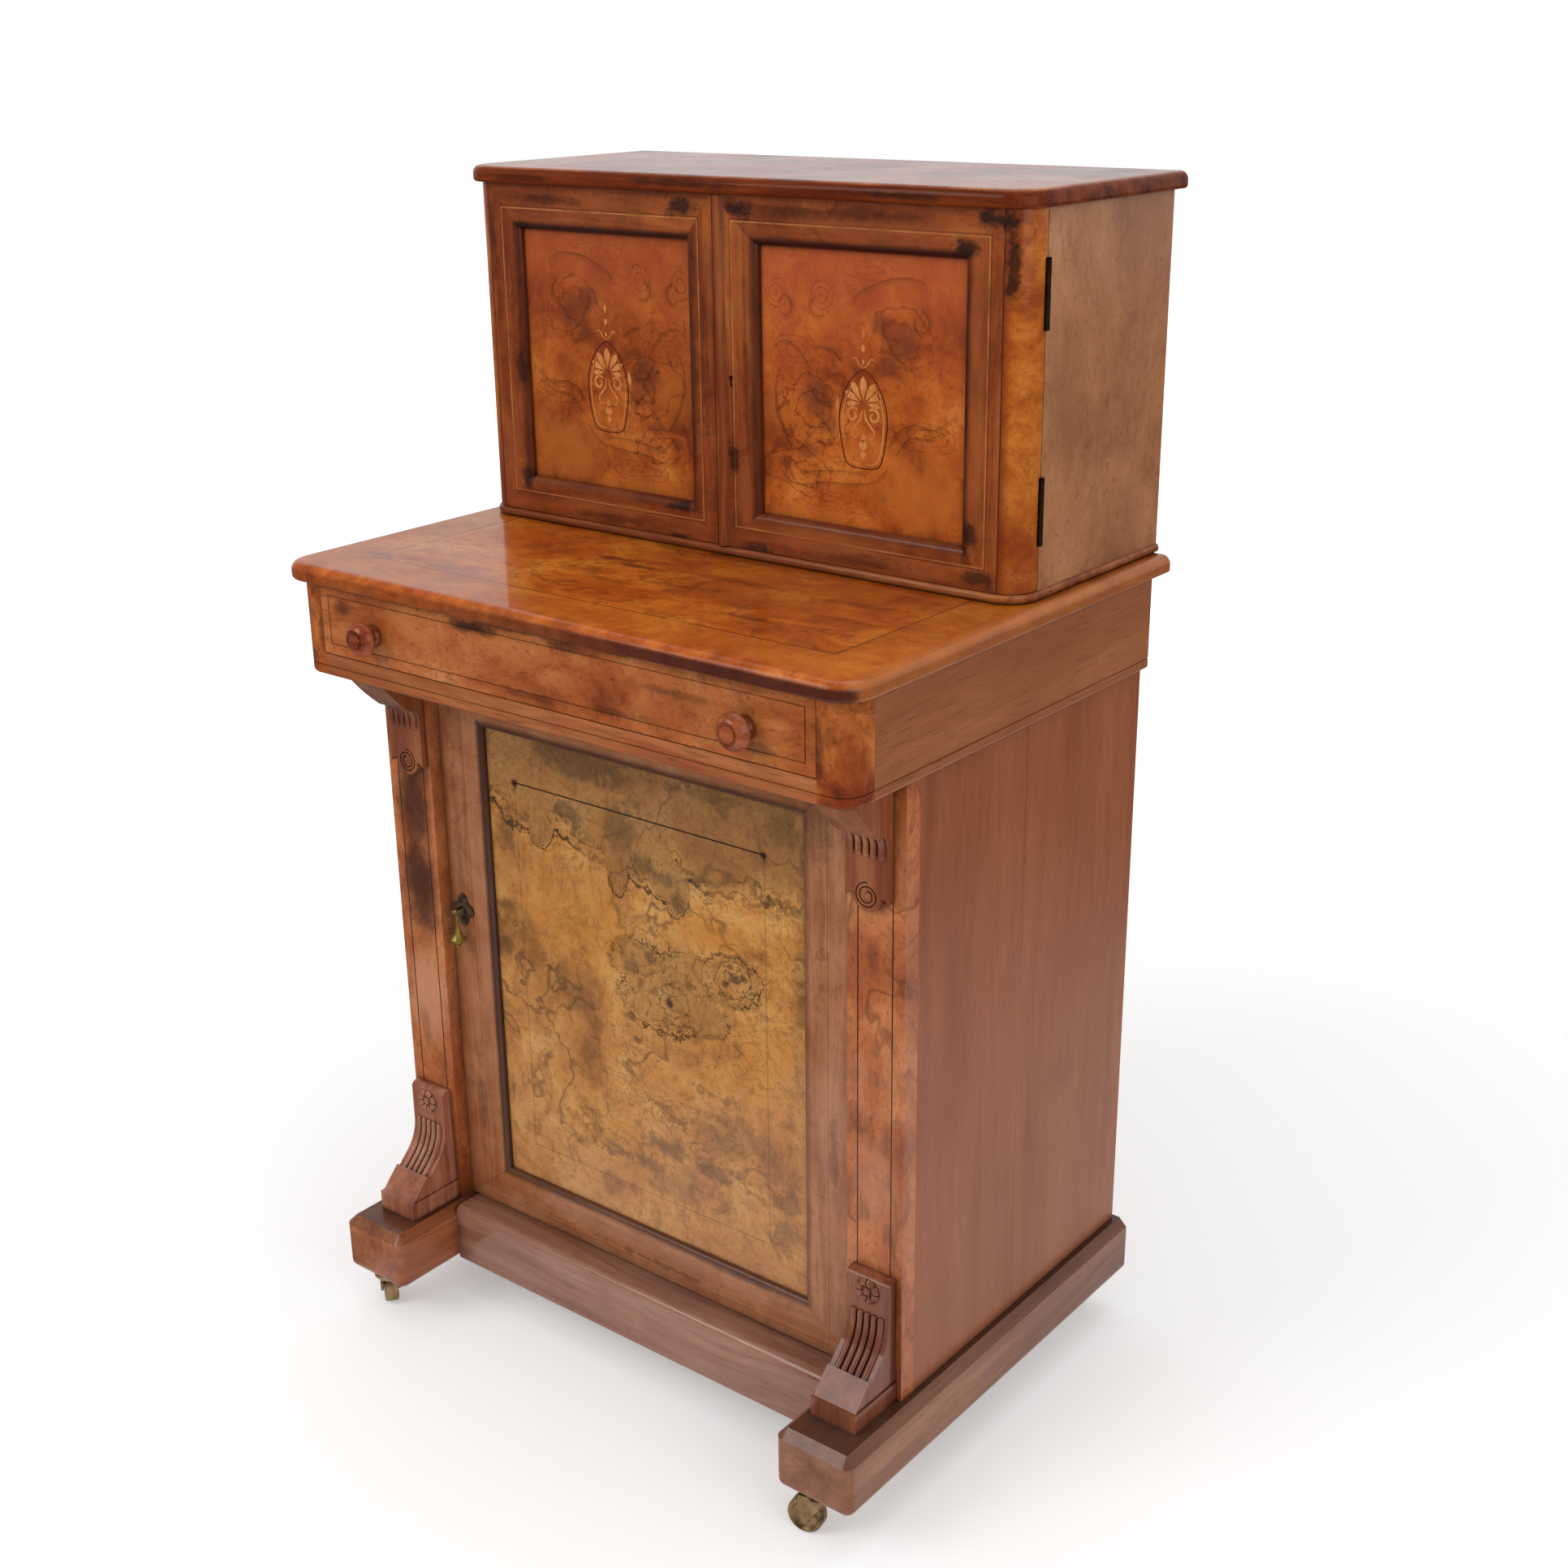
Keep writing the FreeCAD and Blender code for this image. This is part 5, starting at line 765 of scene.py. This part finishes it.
def metals():
    old = brass("old_brass", ("52402d", "9b7e5b", "bda27c"), rough=(0.42, 0.6))
    plate = brass("plate_brass", ("453a2e", "8c7b66", "b8a78c"), rough=(0.4, 0.55))
    drop = brass("drop_brass", ("6b5f2c", "a8964a", "cbb973"), rough=(0.38, 0.5))
    # Near-black brass for hinges and lock: tarnish, and for the hinges painted shade of the gaps they sit in.
    dark = brass("hinge_brass", ("140d09", "2a1d14", "3f2d20"), rough=(0.45, 0.6))
    paint(old, *[node for node in nodes if node.startswith("castor_")])
    paint(dark, "cabinet_lock", *[node for node in nodes if "hinges" in node])
    paint(plate, "pull_plate")
    paint(drop, "pull_drop")


# Marquetry --------------------

def inlay_wood(name, tones):
    """Plain veneer, finely streaked upright."""
    graph = Graph(name)
    grain = graph.noise(graph.vector("MULTIPLY", graph.place, (300.0, 300.0, 60.0)), 1.0, 3.0, 0.6)
    cloud = graph.noise(graph.place, 70.0, 2.0)
    colour = graph.ramp(grain, (0.3, tones[0]), (0.6, tones[1]))
    colour = graph.mix(graph.step(cloud, 0.4, 0.7, 0.0, 0.5), colour, tones[2])
    return graph.polish(colour, grain, 0.04 * MM, grime=0.0)


class Inlay:
    """Flat pieces of one wood let into a door panel.

    Shapes are drawn in millimetres about a centre. rise is how proud of the veneer they stand, and
    mirror is -1 where they are turned over left to right."""

    SUNK = 0.4 * MM

    def __init__(self, name, material, body, centre, face, rise, mirror):
        self.name, self.material, self.body = name, material, body
        self.centre, self.face, self.rise, self.mirror = centre, face, rise, mirror
        self.mesh = bmesh.new()

    def point(self, x, z, proud):
        return self.mesh.verts.new((self.centre[0] + x * self.mirror * MM, self.face - proud,
                                    self.centre[1] + z * MM))

    def shape(self, outline):
        """A filled outline, let in with its face a hair proud of the veneer."""
        front = [self.point(x, z, self.rise) for x, z in outline]
        back = [self.point(x, z, -self.SUNK) for x, z in outline]
        if self.mirror < 0:
            front.reverse()
            back.reverse()
        self.mesh.faces.new(front)
        self.mesh.faces.new(list(reversed(back)))
        for n in range(len(front)):
            self.mesh.faces.new((front[n - 1], back[n - 1], back[n], front[n]))

    def ribbon(self, path, widths):
        """A strip along a path, with the width given at its start, middle and end."""
        left, right = [], []
        last = len(path) - 1
        for n, (x, z) in enumerate(path):
            before, after = path[max(n - 1, 0)], path[min(n + 1, last)]
            dx, dz = after[0] - before[0], after[1] - before[1]
            length = math.hypot(dx, dz) or 1.0
            t = n / last
            bend = 4 * t * (1 - t)
            width = (widths[0] * (1 - t) + widths[2] * t) * (1 - bend) + widths[1] * bend
            offset = (-dz / length * width / 2, dx / length * width / 2)
            left.append((x + offset[0], z + offset[1]))
            right.append((x - offset[0], z - offset[1]))
        self.shape(right + list(reversed(left)))

    def done(self):
        bmesh.ops.recalc_face_normals(self.mesh, faces=self.mesh.faces)
        data = bpy.data.meshes.new(self.name)
        self.mesh.to_mesh(data)
        self.mesh.free()
        data.materials.append(self.material)
        item = placed(self.name, data)
        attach(item, self.body)


def petal(length, width, angle, root=(0.0, 0.0), swell=1.7, steps=9):
    """Outline of a drop-shaped petal, fullest towards its tip, leaning by angle degrees from upright."""
    side = []
    for n in range(steps + 1):
        t = n / steps
        side.append((width / 2 * math.sin(math.pi * t ** swell) ** 0.8, length * t))
    outline = side + [(-x, z) for x, z in reversed(side[1:-1])]
    turn = math.radians(-angle)
    cos, sin = math.cos(turn), math.sin(turn)
    return [(root[0] + x * cos - z * sin, root[1] + x * sin + z * cos) for x, z in outline]


def arc(centre, radius, start, end, shrink=1.0, steps=18):
    """Points along an arc or, with shrink under 1, along a spiral that closes in."""
    points = []
    for n in range(steps + 1):
        t = n / steps
        angle = math.radians(start + (end - start) * t)
        size = radius * (1 + (shrink - 1) * t)
        points.append((centre[0] + size * math.cos(angle), centre[1] + size * math.sin(angle)))
    return points


def curve(points, steps=7):
    """A smooth line through the points (Catmull-Rom)."""
    ends = [points[0]] + list(points) + [points[-1]]
    path = []
    for a, b, c, d in zip(ends, ends[1:], ends[2:], ends[3:]):
        for n in range(steps):
            t = n / steps
            path.append(tuple(0.5 * (2 * q + (r - p) * t + (2 * p - 5 * q + 4 * r - s) * t * t
                                     + (3 * q - p - 3 * r + s) * t ** 3) for p, q, r, s in zip(a, b, c, d)))
    return path + [points[-1]]


# Medallion, in millimetres about its centre: half of the pointed oval, its inner line, the petals of
# the fan (lean, length, width), the buds (foot height, length, width) and the small parts.
OVAL = ((0, 39), (8, 34.5), (16, 26), (22, 15), (25.5, 3), (26.5, -9), (25, -23), (22, -37),
        (18.5, -45.5), (12, -49), (0, -50))
OVAL_LINE = ((13, 24), (18.5, 13), (21.8, 2), (22.6, -10), (21.4, -23), (18.8, -35), (16, -42),
             (10, -45.5), (3, -46))
FAN = ((0, 22, 7.6), (33, 20, 6.6), (-33, 20, 6.6), (64, 19, 6.2), (-64, 19, 6.2), (96, 15, 5.0),
       (-96, 15, 5.0))
BUDS = ((-34, 10, 8.5), (-41, 7, 6.0), (-26, 8, 5.0), (43, 5, 3.0), (54, 7, 4.2), (66, 8, 3.4))
LYRE = ((1.5, 3), (3.0, -5), (8.5, -11.5), (12.5, -17), (9.5, -22), (5.5, -20.5))
TENDRIL = ((0, 40), (5, 44), (9, 49), (12, 47))

# Figure of the veneer round the medallion; x below nought is on the meeting line's side.
SCROLLS = (
    ((-103, 50), (-93, 57), (-83, 56), (-72, 50), (-65, 42), (-60, 35)),
    ((-45, 55), (-38, 54), (-30, 50), (-24, 44)),
    ((-95, 32), (-100, 13), (-96, -11), (-84, -35), (-73, -40), (-61, -26), (-45, -12)),
    ((-97, -58), (-85, -70), (-69, -73), (-46, -68), (-15, -66), (12, -61), (27, -47)),
    ((-84, -48), (-70, -60), (-50, -58), (-26, -55), (2, -55)),
    ((-60, 20), (-52, 8), (-40, 6), (-34, 14), (-40, 22), (-48, 18)),
    ((-58, -2), (-46, -10), (-36, -22), (-44, -32), (-54, -28)),
    ((26, -29), (41, -11), (58, -5), (77, -7), (101, 9)),
    ((36, -34), (50, -18), (70, -16), (92, -6)),
    ((48, 45), (34, 54), (26, 66), (20, 76), (22, 84)),
    ((-12, 100), (0, 108), (22, 117), (44, 121), (64, 119)),
    ((62, 96), (70, 86), (66, 76), (56, 78), (54, 88)),
    ((-96, 90), (-88, 99), (-80, 90), (-86, 80), (-94, 84)),
    ((-52, 100), (-60, 92), (-54, 82), (-44, 84)),
)


def marquetry(side, sign):
    """The medallion of one upper door and the figure of the veneer round it, each wood one piece."""
    body = "upper_door_%s" % side
    face = span(body + "_panel", 1)[0]
    woods = (("pale", 0.16, inlay_wood, ("bd7034", "da9253", "b3622a")),
             ("dark", 0.13, inlay_wood, ("4a1d0c", "632a13", "3c160a")),
             ("figure", 0.10, door_panel, PANEL_SHADE[sign] * 0.66),
             ("shadow", 0.06, door_panel, PANEL_SHADE[sign] * 0.86))
    pieces = []
    for kind, rise, make, look in woods:
        name = "inlay_%s_%s" % (kind, side)
        pieces.append(Inlay(name, make(name, look), body, MEDALLION[sign], face, rise * MM, sign))
    pale, dark, figure, shadow = pieces
    for lean, length, width in FAN:
        turn = math.radians(lean)
        root = (math.sin(turn) * 3.5, 9.0 + math.cos(turn) * 2.0)
        pale.shape(petal(length, width, lean, root))
    for foot, length, width in BUDS:
        pale.shape(petal(length, width, 0, (0.0, foot), swell=1.1))
    for hand, bold in ((1, 1.7), (-1, 1.1)):
        halves = ((pale, arc((11.5, -2.0), 7.0, 140, -250, 0.35), (1.6, 2.8, 1.2)),
                  (pale, curve(LYRE), (1.2, 2.2, 0.8)), (pale, curve(TENDRIL), (0.6, 1.1, 0.8)),
                  (dark, curve(OVAL), (0.9, 1.3, 1.0)), (pale, curve(OVAL_LINE), (0.7, bold, 0.7)))
        for wood, path, widths in halves:
            wood.ribbon([(hand * x, z) for x, z in path], widths)
    pale.shape(petal(13.0, 4.6, 8, (-29.5, -1.0), swell=0.7))
    for path in SCROLLS:
        figure.ribbon(curve(path), (0.5, 1.9, 0.5))
        shadow.ribbon([(x + 1.2, z - 1.2) for x, z in curve(path)], (1.0, 5.0, 1.0))
    for piece in pieces:
        piece.done()


# Stage --------------------

# The camera as fitted to the photograph: its place in metres, yaw, pitch and roll in degrees, and the
# focal length and width of the film in mm.
CAMERA_PLACE = (1.2300, -1.4642, 1.3198)
CAMERA_TURNS = (38.320, -20.438, -0.691)
LENS, FILM = 46.983, 36.0


def camera():
    """Stands to the right of the front, above the writing top, as the picture was taken."""
    yaw, pitch, roll = (math.radians(value) for value in CAMERA_TURNS)
    data = bpy.data.cameras.new("camera")
    data.sensor_width = FILM
    data.lens = LENS
    item = placed("camera", data)
    level = Matrix.Rotation(yaw, 4, "Z") @ Matrix.Rotation(math.pi / 2 + pitch, 4, "X")
    item.matrix_world = Matrix.Translation(CAMERA_PLACE) @ level @ Matrix.Rotation(roll, 4, "Z")
    bpy.context.scene.camera = item


# Half the floor's width. In reflections a white sheet lies on it, where x + SHEET_SLANT * y is past
# SHEET_EDGE and within SHEET_REACH of the middle, each given as where it starts and ends to change.
FLOOR_REACH = 9.0
SHEET_SLANT, SHEET_EDGE, SHEET_REACH = 0.27, (-0.50, -0.44), (1.0, 1.9)


def floor():
    """A wide pale floor with a soft shadow; in reflections only the sheet round the piece is white."""
    mesh = bpy.data.meshes.new("floor")
    corners = [(x * FLOOR_REACH, y * FLOOR_REACH, 0) for x, y in ((-1, -1), (1, -1), (1, 1), (-1, 1))]
    mesh.from_pydata(corners, [], [(0, 1, 2, 3)])
    graph = Graph("floor")
    path = graph.add("ShaderNodeLightPath")
    haze = graph.noise(graph.place, 0.6, 2.0)
    pale = graph.ramp(haze, (0.3, (0.86, 0.86, 0.86, 1)), (0.7, (0.88, 0.88, 0.88, 1)))
    distance = graph.add("ShaderNodeVectorMath", operation="LENGTH")
    graph.feed(distance.inputs[0], graph.place)
    radius = distance.outputs["Value"]
    along = graph.math("MULTIPLY_ADD", graph.y, SHEET_SLANT, graph.x)
    sheet = graph.times(graph.step(along, *SHEET_EDGE), graph.step(radius, *SHEET_REACH, 1.0, 0.0))
    mirrored = path.outputs["Is Glossy Ray"]
    shader = graph.add("ShaderNodeBsdfDiffuse")
    reflected = graph.mix(sheet, (0.22, 0.21, 0.20, 1), pale)
    graph.feed(shader.inputs["Color"], graph.mix(mirrored, pale, reflected))
    level = graph.step(radius, 0.7, 3.2, 0.30, 0.80)
    direct = graph.times(path.outputs["Is Camera Ray"], level)
    beside = graph.times(graph.times(mirrored, sheet), 0.16)
    glow = graph.add("ShaderNodeEmission")
    graph.feed_named(glow, {"Color": (1, 1, 1, 1), "Strength": graph.math("ADD", direct, beside)})
    total = graph.add("ShaderNodeAddShader")
    graph.feed_all(total, shader.outputs[0], glow.outputs[0])
    mesh.materials.append(graph.show(total))
    placed("floor", mesh)


def world():
    """Even room light; reflections find a bright wall behind the piece and a dim room before it."""
    graph = Graph("room", "worlds", "Generated")
    bpy.context.scene.world = graph.owner

    def chosen(factor, low, high):
        node = graph.add("ShaderNodeMix")
        for socket, source in zip(node.inputs[:1] + node.inputs[2:4], (factor, low, high)):
            graph.feed(socket, source)
        return node.outputs[0]

    fade = graph.add("ShaderNodeMapRange")
    graph.feed_named(fade, {"Value": graph.y, "From Min": -0.25, "From Max": 0.35, "To Min": 0.30,
                            "To Max": 0.80})
    path = graph.add("ShaderNodeLightPath")
    unseen = chosen(path.outputs["Is Glossy Ray"], 0.55, fade.outputs[0])
    level = chosen(path.outputs["Is Camera Ray"], unseen, 1.0)
    back = graph.add("ShaderNodeBackground")
    graph.feed_named(back, {"Color": (1, 1, 1, 1), "Strength": level})
    output = graph.add("ShaderNodeOutputWorld")
    graph.feed(output.inputs["Surface"], back.outputs[0])


def lamp(name, place, aim, size, power):
    """A square lamp of so many metres and watts, turned to a height on the piece's axis."""
    data = bpy.data.lights.new(name, "AREA")
    data.shape = "RECTANGLE"
    data.size = data.size_y = size
    data.energy = power
    item = placed(name, data)
    item.location = place
    item.rotation_euler = (Vector((0, 0, aim)) - Vector(place)).to_track_quat("-Z", "Y").to_euler()


def lights():
    lamp("key", (-1.6, -3.2, 3.0), aim=0.6, size=2.2, power=55)
    lamp("fill", (3.4, -1.2, 1.8), aim=0.6, size=2.4, power=30)
    lamp("top", (0.2, 0.4, 3.6), aim=0.8, size=2.6, power=22)


plain_woods()
veneers()
inside_woods()
metals()
for side, sign in SIDES:
    marquetry(side, sign)
camera()
world()
floor()
lights()
bpy.context.scene.view_settings.view_transform = "Standard"
